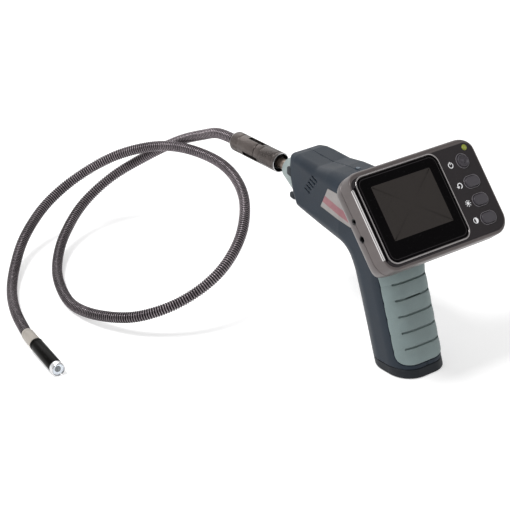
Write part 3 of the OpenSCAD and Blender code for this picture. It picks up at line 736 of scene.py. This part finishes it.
def make_neck(mats):
    """The ribbed hose: five rings of points to each rib, carried along without twist.

    Gives the piece, its path in metres and its length in metres.
    """
    line = smooth_line(NECK_ROUTE)
    _, length = evenly(line, 1.0)
    ribs = int(round(length / RIB_PITCH))
    per_rib = 5
    at, _ = evenly(line, length / (ribs * per_rib))
    shape = np.array([-0.75, -0.12, 0.10, 0.02, -0.5])  # a groove, then the rib's crown
    sides = 20
    way = np.gradient(at, axis=0)
    way /= np.linalg.norm(way, axis=1)[:, None]
    way[0] = (0, 1, 0)
    way[-1] = (math.sin(HEAD_TURN), -math.cos(HEAD_TURN), 0)
    side = np.cross(way[0], (0, 0, 1.0))
    rings = []
    turn = np.linspace(0, 2 * np.pi, sides, endpoint=False)
    for k, (p, d) in enumerate(zip(at, way)):
        side = side - d * (side @ d)
        side /= np.linalg.norm(side)
        up = np.cross(side, d)
        r = NECK_D / 2 + shape[k % per_rib]
        if k in (0, len(at) - 1):
            r = NECK_D / 2 - 0.3
        rings.append(p + r * (np.cos(turn)[:, None] * side + np.sin(turn)[:, None] * up))
    verts, faces = loft(rings)
    neck = piece("gooseneck_hose", verts, faces, [mats["neck"], mats["neck_groove_shade"]], "handle", "neck_skin", 180,
                 "gooseneck")
    # faces in and beside each groove get the near-black material: painted shade in the grooves
    band = np.arange(len(at) - 1) % per_rib
    dark = np.isin(band, (0, 3, 4)).astype(int).repeat(sides)
    neck.data.polygons.foreach_set("material_index", np.r_[dark, 0, 0][: len(neck.data.polygons)])
    return neck, smooth_line(NECK_ROUTE, 6) * MM, length * MM


def make_head(mats):
    """Sleeve, glossy barrel, bright rim and clear window at the tip."""
    s0, s1, s2 = SLEEVE, SLEEVE + BARREL, SLEEVE + BARREL + RIM
    sleeve = [(0, 0.0), (3.6, 0.0), (3.9, 0.6), (4.3, 3.0), (4.3, 3.6), (4.15, 3.8), (4.15, 4.3), (4.3, 4.5),
              (4.3, s0 - 1.2), (4.1, s0 - 0.9), (4.1, s0 - 0.05), (0, s0 - 0.05)]
    barrel = [(0, s0), (4.35, s0), (4.7, s0 + 0.4), (4.7, s0 + 2.6), (4.5, s0 + 2.8), (4.5, s0 + 3.2),
              (4.7, s0 + 3.4), (4.7, s1 - 0.25), (4.55, s1 - 0.03), (3.9, s1 - 0.03), (3.9, s0 + 4), (0, s0 + 4)]
    rim = [(4.55, s1 + 0.0), (4.7, s1 + 0.2), (4.7, s2 - 0.5), (4.45, s2 - 0.05), (4.15, s2 - 0.05),
           (3.95, s2 - 0.35), (3.92, s1 + 0.05), (4.5, s1 + 0.0)]
    dome = [(0, s1 + 3.0), (3.84, s1 + 3.0), (3.84, s1 + 4.0), (3.3, s1 + 4.1), (2.2, s1 + 4.15), (0, s1 + 4.15)]
    # pale reflector cup that the lens stands in; it glows, a painted light, though it is no lamp
    cup = [(3.8, s1 + 2.0), (3.8, s1 + 2.8), (3.5, s1 + 2.9), (2.1, s1 + 2.4), (2.1, s1 + 2.0), (3.7, s1 + 2.0)]
    lens = [(0, s1 - 2.0), (1.6, s1 - 2.0), (1.6, s1 + 1.9), (2.05, s1 + 2.0), (2.05, s1 + 2.7), (1.8, s1 + 2.85),
            (1.3, s1 + 2.65), (0.8, s1 + 2.75), (0, s1 + 2.82)]
    return [
        turned(name, profile, on_head, mats[mat], "handle", slot, node, radius, count, closed)
        for name, profile, mat, slot, node, radius, count, closed in (
            ("sleeve_ferrule", sleeve, "sleeve", "sleeve_beige", "head_sleeve", 0.25, 48, False),
            ("barrel_tube", barrel, "head", "head_black", "head_barrel", 0.25, 64, False),
            ("tip_rim", rim, "rim", "bright_trim", "head_rim", 0.15, 64, True),
            ("tip_window", dome, "clear", "clear_cover", "head_window", 0.25, 48, False),
            ("tip_reflector", cup, "reflector", "light_white", None, 0.1, 48, True),
            ("tip_lens", lens, "lens", "gloss_black", "camera_lens", 0.25, 48, False),
        )
    ]


def make_plug(mats):
    """Collar, connector body with finger recesses, stub and seal."""
    r = PLUG_R

    def recesses():
        """Three long finger recesses, cut across the seam between collar and body."""
        tools = []
        ends = (-RECESS_HALF, RECESS_HALF)
        base = np.array([[a, b, c] for a in (-1.3, 1.3) for b in (-1.8, 1.8) for c in ends], float)
        order = [(0, 1, 3, 2), (4, 6, 7, 5), (0, 4, 5, 1), (2, 3, 7, 6), (0, 2, 6, 4), (1, 5, 7, 3)]
        for degrees in RECESS_TURNS:
            a = math.radians(degrees)
            turn = np.array([[math.cos(a), -math.sin(a), 0], [math.sin(a), math.cos(a), 0], [0, 0, 1]])
            tools.append(piece("tool", on_axis((base + np.array([r, 0, RECESS_MIDDLE])) @ turn.T), order, []))
        return tools

    def paint_bore_shade(obj, inner):
        """Painted shade: black inside the bores and recesses; and bright on the collar's front lip."""
        obj.data.materials.clear()
        for key in ("plug", "plug_painted_shade", "rim"):
            obj.data.materials.append(mats[key])
        for p in obj.data.polygons:
            c = p.center / MM
            away = math.hypot(c.x, c.z - AXIS_Z)
            in_shaded_recess = abs(c.y - RECESS_MIDDLE) < RECESS_HALF + 0.1 and away < r - 0.35
            p.material_index = int(away < inner or in_shaded_recess)
            # the collar's mouth inside its lip is painted shade too
            if c.y < 140:
                p.material_index = 1 if away < r - 0.55 else (2 if c.y < 134.75 else 0)

    # a collar with a bright lip, two shallow rings and a bored mouth
    profile = [(5.3, 147.0), (5.3, 139.0), (r - 0.6, 134.6), (r - 0.35, 134.5), (r, 134.8), (r, 137.0),
               (r - 0.2, 137.2), (r - 0.2, 137.8), (r, 138.0), (r, 150.6), (r - 0.2, 150.8), (r - 0.2, 151.3),
               (r, 151.5), (r, 156.8), (r - 0.35, 157.25), (4.8, 157.3), (4.8, 147.2), (5.3, 147.0)]
    collar = turned("collar_ring", profile, on_axis, mats["plug"], "collar", "plug_brown", "coupling_collar", 0.12,
                    72, True)
    boolean(collar, recesses())
    paint_bore_shade(collar, 5.4)
    profile = [(0, 143.0), (3.75, 143.0), (4.75, 143.2), (4.75, 157.4), (r - 0.35, 157.5), (r, 157.9), (r, 175.3),
               (r - 0.25, 175.5), (r - 0.25, 176.2), (r, 176.4), (r, 182.4), (r - 0.4, 183.2), (5.2, 185.6),
               (4.7, 185.95), (0, 186.0)]
    body = turned("connector_shell", profile, on_axis, mats["plug"], "handle", "plug_brown", "connector_body", 0.15, 72)
    boolean(body, recesses() + [tool_cylinder(3.75, 142, 150.4, on_axis, 32)])
    paint_bore_shade(body, 4.8)
    profile = [(0, 101.6), (7, 101.6), (7, 104.3), (3.7, 104.3), (3.7, 139.2), (3.4, 139.4), (3.4, 140.2),
               (3.7, 140.4), (3.7, 148.6), (3.3, 149.0), (2.6, 149.0), (2.6, 128.0), (0, 128.0)]
    turned("stub_tube", profile, on_axis, mats["stub"], "handle", "steel", "nose_stub", 0.15, 64)
    turn = np.linspace(0, 2 * np.pi, 16, endpoint=False)
    seal = [(4.5 + 0.75 * math.cos(a), 137.5 + 0.75 * math.sin(a)) for a in turn]
    piece("seal_ring", *lathe(seal + [seal[0]], 56, on_axis), mats["rubber"], "handle", "seal_black", 60, "nose_seal")


def make_cone(mats):
    """Pale nose cone: a rounded rectangle at the shells that becomes a circle at its tip."""

    def ring(y, inset, t=None):
        if t is None:
            t = np.clip((y - 105) / 21, 0, 1)
        pts, _ = outline(28 - 2 * inset, 29.6 - 2 * inset, max(9.5 - inset, 2), 14, 6)
        turn = np.arctan2(pts[:, 1], pts[:, 0])
        circle = (6.6 - inset) * np.column_stack([np.cos(turn), np.sin(turn)])
        pts = pts * (1 - t) + circle * t
        return np.column_stack([pts[:, 0], np.full(len(pts), y), pts[:, 1] + (99.5 * (1 - t) + AXIS_Z * t)])

    outside = ((102.5, 0), (106, 0), (111, 0), (116, 0), (121, 0), (124.6, 0), (125.6, 0.35), (126.0, 0.9))
    bore = ((126.0, 2.8), (120.0, 2.8, 1.0), (115, 2.5), (108, 2.5), (102.5, 2.5))
    rings = [ring(*at) for at in outside + bore]
    verts, faces = loft(rings + rings[:1], False, False)
    faces = [f[::-1] for f in faces]
    weld(piece("nose_cone_shell", verts, faces, mats["cone"], "handle", "cone_grey", 35, "nose_cone"))


def make_clips(mats):
    """Dark hooks of the shells that hold the cone at its corners."""
    bm = bmesh.new()
    for x, y, z, h in ((14.2, 107.2, 103.6, 7.6), (12.8, 105.6, 86.2, 5.4)):
        for side in (-1, 1):
            for v in bmesh.ops.create_cube(bm, size=1.0)["verts"]:
                wedge = 0.75 if v.co.y > 0 else 1.0
                v.co = Vector((side * x + v.co.x * 3.4 * wedge, y + v.co.y * 5.6, z + v.co.z * h * wedge)) * MM
    bmesh.ops.bevel(bm, geom=list(bm.edges), offset=1.25 * MM, segments=5, profile=0.5, affect="EDGES")
    mesh = bpy.data.meshes.new("cone_hooks")
    bm.to_mesh(mesh)
    bm.free()
    finish_mesh("cone_hooks", mesh, mats["clip"], "handle", "black_plastic", 50, "cone_clips")


# ---------- the handle ----------


def make_handle(mats):
    """Both shells, the rubber pad and the base cap, from their distance fields."""
    for name, field, low, high, step, mat, body, slot, node in (
        ("handle_left", shell_field(-1), (-22, -34, 5), (0.6, 112, 121.2), 0.62, "navy", "handle", "handle_navy",
         "left_shell"),
        ("handle_right", shell_field(1), (-0.6, -34, 5), (22, 112, 121.2), 0.62, "navy", "handle", "handle_navy",
         "right_shell"),
        ("pad_rubber", pad_field, (-23, -26, 1), (23, 22, 76), 0.52, "pad", "handle", "pad_grey", "grip_pad"),
        ("foot_cap", foot_field, (-22, -24, -1.0), (22, 26, 17), 0.55, "navy_cap_in_shade", "battery", "black_plastic",
         "base_cap"),
    ):
        field_piece(name, field, low, high, step, mats[mat], body, slot, node)


def make_label(mats):
    """Blank sticker laid over the left side: its corners are slid on to the shell from the left."""
    corner = np.array([(38, 89.6), (70, 92.8), (62.5, 108), (38, 108.6)], float)
    nu, nv = 40, 24
    s, t = np.linspace(0, 1, nu)[:, None], np.linspace(0, 1, nv)[None, :]
    y, z = ((1 - s) * ((1 - t) * a + t * d) + s * ((1 - t) * b + t * c) for a, b, c, d in corner.T)
    near, far = np.full(y.shape, -24.0), np.full(y.shape, -8.0)
    for _ in range(30):
        mid = (near + far) / 2
        out = handle_field(mid, y, z) > 0.22
        near, far = np.where(out, mid, near), np.where(out, far, mid)
    top = np.stack([near, y, z], -1).reshape(-1, 3)
    verts = np.concatenate([top, top + np.array([0.5, 0, 0])])
    n = nu * nv
    faces = []
    for i in range(nu - 1):
        for j in range(nv - 1):
            a, b, c, d = i * nv + j, (i + 1) * nv + j, (i + 1) * nv + j + 1, i * nv + j + 1
            faces += [(d, c, b, a), (n + a, n + b, n + c, n + d)]
    edge = [i * nv for i in range(nu)] + [(nu - 1) * nv + j for j in range(1, nv)]
    edge += [i * nv + nv - 1 for i in range(nu - 2, -1, -1)] + list(range(nv - 2, 0, -1))
    faces += [(a, b, n + b, n + a) for a, b in zip(edge, edge[1:] + edge[:1])]
    piece("side_sticker", verts, faces, mats["label"], "handle", "label_print", 40, "side_label")


# ---------- the monitor ----------


def close_flat(rings):
    """Adds rings that shrink to the middle of the last one, so that a flat face stays flat."""
    last = rings[-1]
    middle = last.mean(0)
    return rings + [middle + (last - middle) * k for k in (0.6, 0.25, 0.004)]


def by_edge(out, left, right, top, bottom):
    """A value for each point of an outline, blended from those of the four edges."""
    side = np.where(out[:, 0] < 0, left, right)
    end = np.where(out[:, 1] < 0, bottom, top)
    return side * out[:, 0] ** 2 + end * out[:, 1] ** 2


def housing_rings(levels):
    """Rings of the housing's outline, as (z, inset) pairs; the lower edge is drawn in far less."""
    pts, out = outline(MON_W, MON_H, MON_R, 12, 14)
    inset_scale = by_edge(out, 1.0, 1.0, 1.0, 0.15)
    swell = by_edge(out, 0.0, RIGHT_SWELL, 0.0, LOWER_SWELL)
    rings = []
    for z, inset in levels:
        fade = np.clip((z + 24) / 13, 0.2, 1)
        rings.append(level(pts - (inset * inset_scale - swell * fade)[:, None] * out, z))
    return rings


def make_bezel(mats):
    """Front half of the housing: rounded front edges, with a dark inlaid face."""
    pts, out = outline(MON_W, MON_H, MON_R, 12, 14)
    # the upper edge is soft; the left, with its bright strip, and the right are crisp
    radius = by_edge(out, 0.55, 0.7, 3.1, 1.5)
    zero = -by_edge(out, 0.0, RIGHT_SWELL, 0.0, LOWER_SWELL)

    def ring(z, inset):
        return np.column_stack([pts - (zero + inset)[:, None] * out, np.broadcast_to(z, len(pts))])

    rings = [ring(SEAM + 0.1, 2.2), ring(SEAM + 0.1, 0.25), ring(SEAM + 0.35, 0), ring(-6.0, 0)]
    for a in np.linspace(0, np.pi / 2, 9):
        rings.append(ring(-radius * (1 - math.sin(a)), radius * (1 - math.cos(a))))
    rings += [ring(0, radius + 0.25), ring(-0.28, radius + 0.30), ring(-0.28, radius + 0.62)]
    face_start = len(rings) - 1
    rings += [ring(-0.02, radius + 0.70), ring(-0.02, radius + 3.0)]
    # then the inside of the wall, and the back of the face
    inner = loft([ring(SEAM + 0.1, 2.2), ring(-2.2, 2.2)], False, True)
    verts, faces = joined(loft(rings, False, True), inner, flip=True)
    body = piece("monitor_front", in_monitor(verts), faces, [mats["housing"], mats["face"]], "monitor", "housing_grey",
                 30, "monitor_bezel")
    for p in body.data.polygons:
        p.material_index = int(face_start * len(pts) <= p.index <= (len(rings) - 1) * len(pts))
    weld(body, 1e-6)
    cuts = [tool_slab(WIN[2] + 3.6, WIN[3] + 3.6, WIN[4] + 1.8, -1.15, 1, WIN[:2], 10),
            tool_slab(PIC[2] + 3, PIC[3] + 3, 2, -5, 1, PIC[:2]),
            tool_round(POWER[2] + 0.25, -5, 1, POWER[:2], 12)]
    cuts += [tool_slab(KEY_W + 0.5, KEY_H + 0.5, KEY_H / 2 + 0.24, -5, 1, k, 12) for k in KEYS]
    cuts += [tool_round(2.1, -5, 2, LIGHT_AT), tool_slab(2.1, 47.8, 0.2, -0.95, 1, (-50.55, STRIP_Y), 2)]
    boolean(body, cuts + jack_cuts())


def side_jack(y):
    """Places local Z along the monitor's width, from its left wall inwards."""

    def place(v):
        v = np.atleast_2d(v)
        return in_monitor(np.stack([v[:, 2] - MON_W / 2, y + v[:, 1], -11.0 - v[:, 0]], 1))

    return place


def jack_cuts():
    return [tool_cylinder(r, -1, 4, side_jack(y)) for r, y in zip((2.15, 2.45), JACK_Y)]


def make_back(mats):
    """Back half: its edges curve in towards the dock, with the dock's channel cut in the middle."""
    curve = [(SEAM - 0.1, 2.2), (SEAM - 0.1, 0.25), (SEAM - 0.35, 0.02)]
    curve += [(SEAM - 12 * math.sin(a), 8 * (1 - math.cos(a))) for a in np.linspace(0.06, np.pi / 2, 16)]
    inner = [(SEAM - 0.1, 2.2)]
    inner += [(SEAM - 9.8 * math.sin(a), 2.2 + 7.2 * (1 - math.cos(a))) for a in np.linspace(0.2, 1.35, 8)]
    verts, faces = joined(loft(housing_rings(curve), False, True), loft(housing_rings(inner), False, True), flip=True)
    back = weld(piece("monitor_rear", in_monitor(verts), faces, mats["housing"], "monitor", "housing_grey", 35,
                      "monitor_back"), 1e-6)
    screws = [(sx * 41.5, sy * 22.5) for sx in (-1, 1) for sy in (-1, 1)]
    block = [tool_slab(36, 38.6, 1.5, -21.5, -14.5, (0, -4.4), 3)]
    block += [tool_round(3, -21.2, SEAM - 0.1, at) for at in screws]
    boolean(back, block, "UNION")
    cuts = [tool_slab(20, 70, 2, -24, -19.8, (0, -24.8), 5), tool_slab(28, 70, 2, -20.35, -17.6, (0, -24.8), 5)]
    for at in screws:
        cuts += [tool_round(1.35, -24, -9, at, 6), tool_round(2.7, -24, -19.5, at)]
    # a shallow row of finger ribs under the dock's upper end
    cuts += [tool_slab(34, 1.1, 0.5, -24, -22.0, (0, 14.2 + 2.4 * k), 4) for k in range(4)]
    boolean(back, cuts + jack_cuts())


def crowned(w, h, r, z0, z1, dome, at, edge):
    """A key: straight sides, a rounded upper edge and a gently crowned top."""
    pts, out = outline(w, h, r, 12, 4)
    rings = [level(pts, z0)]
    for a in np.linspace(0, np.pi / 2, 6):
        rings.append(level(pts - out * edge * (1 - math.cos(a)), z1 - edge * (1 - math.sin(a))))
    rings += [level((pts - out * edge) * k, z1 + dome * (1 - k * k)) for k in (0.75, 0.5, 0.25, 0.06)]
    verts, faces = loft(rings)
    return verts + np.array([at[0], at[1], 0]), faces


def make_keys(mats):
    """Three oblong keys and the round one, with the raised lips round their openings, in a paler grey as a painted
    highlight round the keys' edges.
    """

    def lip(key, w, h, r, at):
        frame_ring("lip_" + key, w, h, r, at, -1.5, 0.16, 0.42, mats["key_lip_highlight"], "black_plastic")

    for key, at in zip(("rotate", "brightness", "contrast"), KEYS):
        v, f = crowned(KEY_W - 0.9, KEY_H - 0.9, KEY_H / 2 - 0.46, -2.3, 1.25, 0.14, at, 0.7)
        piece("key_" + key, in_monitor(v), f, mats["key"], key + "_key", "black_plastic", 50, key + "_button")
        lip(key, KEY_W + 0.7, KEY_H + 0.7, KEY_H / 2 + 0.34, at)
    lip("power", 2 * POWER[2] + 0.8, 2 * POWER[2] + 0.8, POWER[2] + 0.39, POWER[:2])
    dish = [(0, -2.3), (4.3, -2.3), (4.3, 0.6), (4.15, 1.15), (3.8, 1.35), (3.4, 1.1), (3.1, 0.45), (2.7, 0.3),
            (2.1, 0.3), (1.7, 0.5), (1.3, 0.85), (0.8, 1.0), (0, 1.05)]
    turned("key_power", dish, monitor_at(POWER[:2]), mats["key"], "power_key", "black_plastic", "power_button", 0.2, 64,
           smooth=60)


def frame_ring(name, w, h, r, at, z0, z1, width, material, slot, node=None):
    """A thin bright line round an opening, rounded over its top."""
    pts, out = outline(w, h, r, 12, 6)
    prof = [(0, z0), (0, z1 - 0.25), (0.12, z1 - 0.06), (0.32, z1), (width - 0.32, z1), (width - 0.12, z1 - 0.06),
            (width, z1 - 0.25), (width, z0)]
    rings = [level(pts - out * i, z) for i, z in prof]
    verts, faces = loft(rings + rings[:1], False, False)
    weld(piece(name, monitor_at(at)(verts), faces, material, "monitor", slot, 50, node))


def plate(name, shape, at, levels, material, slot, smooth, node=None, flat=True):
    """A thin piece of the monitor's face: its outline, drawn in by each (inset, z) of its levels."""
    pts, out = outline(*shape)
    rings = [level(pts - out * i, z) for i, z in levels]
    verts, faces = loft(close_flat(rings) if flat else rings)
    piece(name, monitor_at(at)(verts), faces, material, "monitor", slot, smooth, node)


def make_window(mats):
    """The monitor's face: window, its bright frame, picture area, edge strip and status light."""
    at, (w, h, r) = WIN[:2], WIN[2:]
    frame_ring("window_line", w + 3.4, h + 3.4, r + 1.7, at, -1.1, 0.42, 1.0, mats["trim"], "bright_trim",
               "window_frame")
    # thin second line inside the first
    frame_ring("window_line_inner", w - 2.0, h - 2.0, r - 1.0, at, -0.4, 0.16, 0.3, mats["face"], "housing_grey")
    plate("window_pane", (w + 0.6, h + 0.6, r + 0.3, 12, 8), at,
          ((0, -1.6), (0, -0.1), (0.05, 0.02), (0.2, 0.1), (0.35, 0.1), (2.0, 0.1)),
          mats["window"], "window_black", 40, "window_glass")
    # the picture area shows through the pane as a slightly paler flat panel
    plate("picture_area", (PIC[2], PIC[3], 0.6, 4, 6), PIC[:2],
          ((0, -0.5), (0, 0.12), (0.05, 0.15), (0.2, 0.15), (1.0, 0.15)), mats["screen"], "screen_dark", 40,
          "screen_panel")
    plate("edge_strip_bar", (1.7, 47.4, 0.5, 6, 10), (-50.45, STRIP_Y),
          ((0, -0.85), (0, 0.05), (0.1, 0.22), (0.3, 0.32), (0.55, 0.35)), mats["trim_bright"], "bright_trim", 50,
          "edge_strip", flat=False)
    # black strip between the bright strip and the window's frame: a painted shadow of the groove beside the raised
    # strip
    plate("edge_groove_shadow", (1.7, 49.5, 0.7, 5, 6), (-48.45, STRIP_Y), ((0, -0.3), (0, 0.02), (0.05, 0.05)),
          mats["window"], "window_black", 40)
    dome = [(0, -3.6), (2, -3.6), (2, 0.15), (1.8, 0.4), (1.3, 0.62), (0.7, 0.74), (0, 0.78)]
    turned("status_dome", dome, monitor_at(LIGHT_AT), mats["light_green"], "monitor", "light_green", "status_light",
           0.2, 40, smooth=60)


def make_jacks(mats):
    """Video and charging jacks in the left wall; the second has a pin."""
    for name, y, r, bore, pin, node in (("jack_video", JACK_Y[0], 2.1, 1.3, 0, "av_jack"),
                                        ("jack_power", JACK_Y[1], 2.4, 1.8, 0.65, "dc_jack")):
        prof = rounded([(bore, 8.0), (bore, 0.5), (bore + 0.25, 0.15), (r - 0.15, 0.15), (r, 0.35), (r, 8.0)], 0.12)
        made = lathe(prof + prof[:1], 36, side_jack(y))
        if pin:
            prof = rounded([(0, 8.0), (pin, 8.0), (pin, 2.2), (pin * 0.6, 1.9), (0, 1.85)], 0.1)
            made = joined(made, lathe(prof, 20, side_jack(y)))
        piece(name, *made, mats["jack"], "monitor", "black_plastic", 40, node)


# ---------- the dimmer and the inner parts that keep their CAD shape ----------


def make_wheel(mats):
    """Thumb wheel with cut notches and a dished face."""
    notches, per_notch = 24, 12
    turn = np.linspace(0, 2 * np.pi, notches * per_notch, endpoint=False)
    notch = 0.55 * np.clip(np.cos(turn * notches) * 1.6 - 0.6, 0, 1)
    rings = []
    for r, z, k in ((1.56, 98.2, 0), (7.6, 98.2, 0), (8.7, 98.35, 0.8), (9.0, 98.7, 1), (9.0, 101.3, 1),
                    (8.7, 101.65, 0.8), (7.6, 101.8, 0), (7.0, 101.5, 0), (1.56, 101.5, 0)):
        rad = r - notch * k
        rings.append(level(np.column_stack([10.4 + rad * np.cos(turn), 80 + rad * np.sin(turn)]), z))
    verts, faces = loft(rings + rings[:1], False, False)
    weld(piece("thumb_wheel", verts, faces, mats["clip"], "dimmer", "black_plastic", 40, "dimmer_wheel"))


# CAD nodes that keep their shape, by material
CARRIED = {
    "board": ("head_board", "main_board", "sender_board"),
    "brass": ("connector_pin", "sender_antenna", "stub_contacts"),
    "cell": ("cell_1", "cell_2", "cell_3", "cell_4"),
    "clip": ("battery_tray", "dock_plate"),
    "foil": ("monitor_cell",),
    "light_blue": ("power_light",),
    "light_white": ("head_lights", "led_board"),
    "mark": ("button_marks",),
    "pot": ("dimmer_pot",),
    "rubber": ("button_mat", "cap_gasket", "stub_cable"),
    "sensor": ("image_sensor",),
    "steel": ("bay_contacts", "collar_clip", "dock_screws", "monitor_screws", "panel_frame", "shell_screws",
              "tray_contacts"),
}


def dress_carried(mats):
    """Gives the nodes that keep their CAD shape their materials."""
    for key, names in CARRIED.items():
        for name in names:
            materials = nodes[name].data.materials
            if len(materials) == 0:
                materials.append(mats[key])
            for i in range(len(materials)):
                materials[i] = mats[key]


# ---------- floor and light ----------


def make_stage():
    """A pale floor that curves up far behind, so that it has no edge."""
    width, depth, rise = 6.0, 3.0, 3.0
    drop = 0.0002  # the floor lies this far under the cap's underside
    prof = [(-depth, 0.0), (2.0, 0.0)]
    for a in np.linspace(0, math.pi / 2, 12)[1:]:
        prof.append((2.0 + math.sin(a), 1.0 - math.cos(a)))
    prof.append((3.0, rise))
    verts, faces = [], []
    for y, z in prof:
        verts += [(-width, y, z - drop), (width, y, z - drop)]
    for k in range(len(prof) - 1):
        faces.append((2 * k, 2 * k + 1, 2 * k + 3, 2 * k + 2))
    mesh = bpy.data.meshes.new("floor")
    mesh.from_pydata(verts, [], faces)
    mesh.polygons.foreach_set("use_smooth", np.ones(len(mesh.polygons), bool))
    floor = bpy.data.objects.new("floor", mesh)
    bpy.context.scene.collection.objects.link(floor)
    mesh.materials.append(surface("floor_white", "#e9e9e9", 0.9, 0, 60, 10, 0.005, 0,
                                  {SPECULAR: 0.1, GLOW: (1, 1, 1, 1), STRENGTH: 0.45}, 0.03))


def area_light(name, at, aim, size, power):
    light = bpy.data.lights.new(name, "AREA")
    light.shape = "RECTANGLE"
    light.size, light.size_y = size
    light.energy = power
    obj = bpy.data.objects.new(name, light)
    obj.matrix_world = (
        Matrix.Translation(at) @ (Vector(aim) - Vector(at)).to_track_quat("-Z", "Y").to_matrix().to_4x4()
    )
    bpy.context.scene.collection.objects.link(obj)


def make_light():
    world = bpy.data.worlds.new("studio")
    world.use_nodes = True
    world.node_tree.nodes["Background"].inputs["Color"].default_value = (1, 1, 1, 1)
    world.node_tree.nodes["Background"].inputs["Strength"].default_value = 0.36
    bpy.context.scene.world = world
    bpy.context.scene.view_settings.view_transform = "Standard"
    aim = (-0.05, 0.08, 0.06)
    area_light("key", (-0.7, 0.1, 1.3), aim, (0.35, 0.35), 12)
    area_light("fill", (0.9, -0.9, 0.9), aim, (1.2, 0.8), 2.5)
    area_light("back", (0.3, 1.3, 1.0), aim, (1.4, 0.6), 4)


# ---------- build ----------

make_camera()
mats = build_materials()
neck, neck_path, neck_length = make_neck(mats)
head = make_head(mats)
[tuple(p) for p in neck_path]
make_plug(mats)
make_cone(mats)
make_clips(mats)
make_handle(mats)
make_label(mats)
make_bezel(mats)
make_back(mats)
make_window(mats)
make_keys(mats)
make_jacks(mats)
make_wheel(mats)
dress_carried(mats)
make_stage()
make_light()
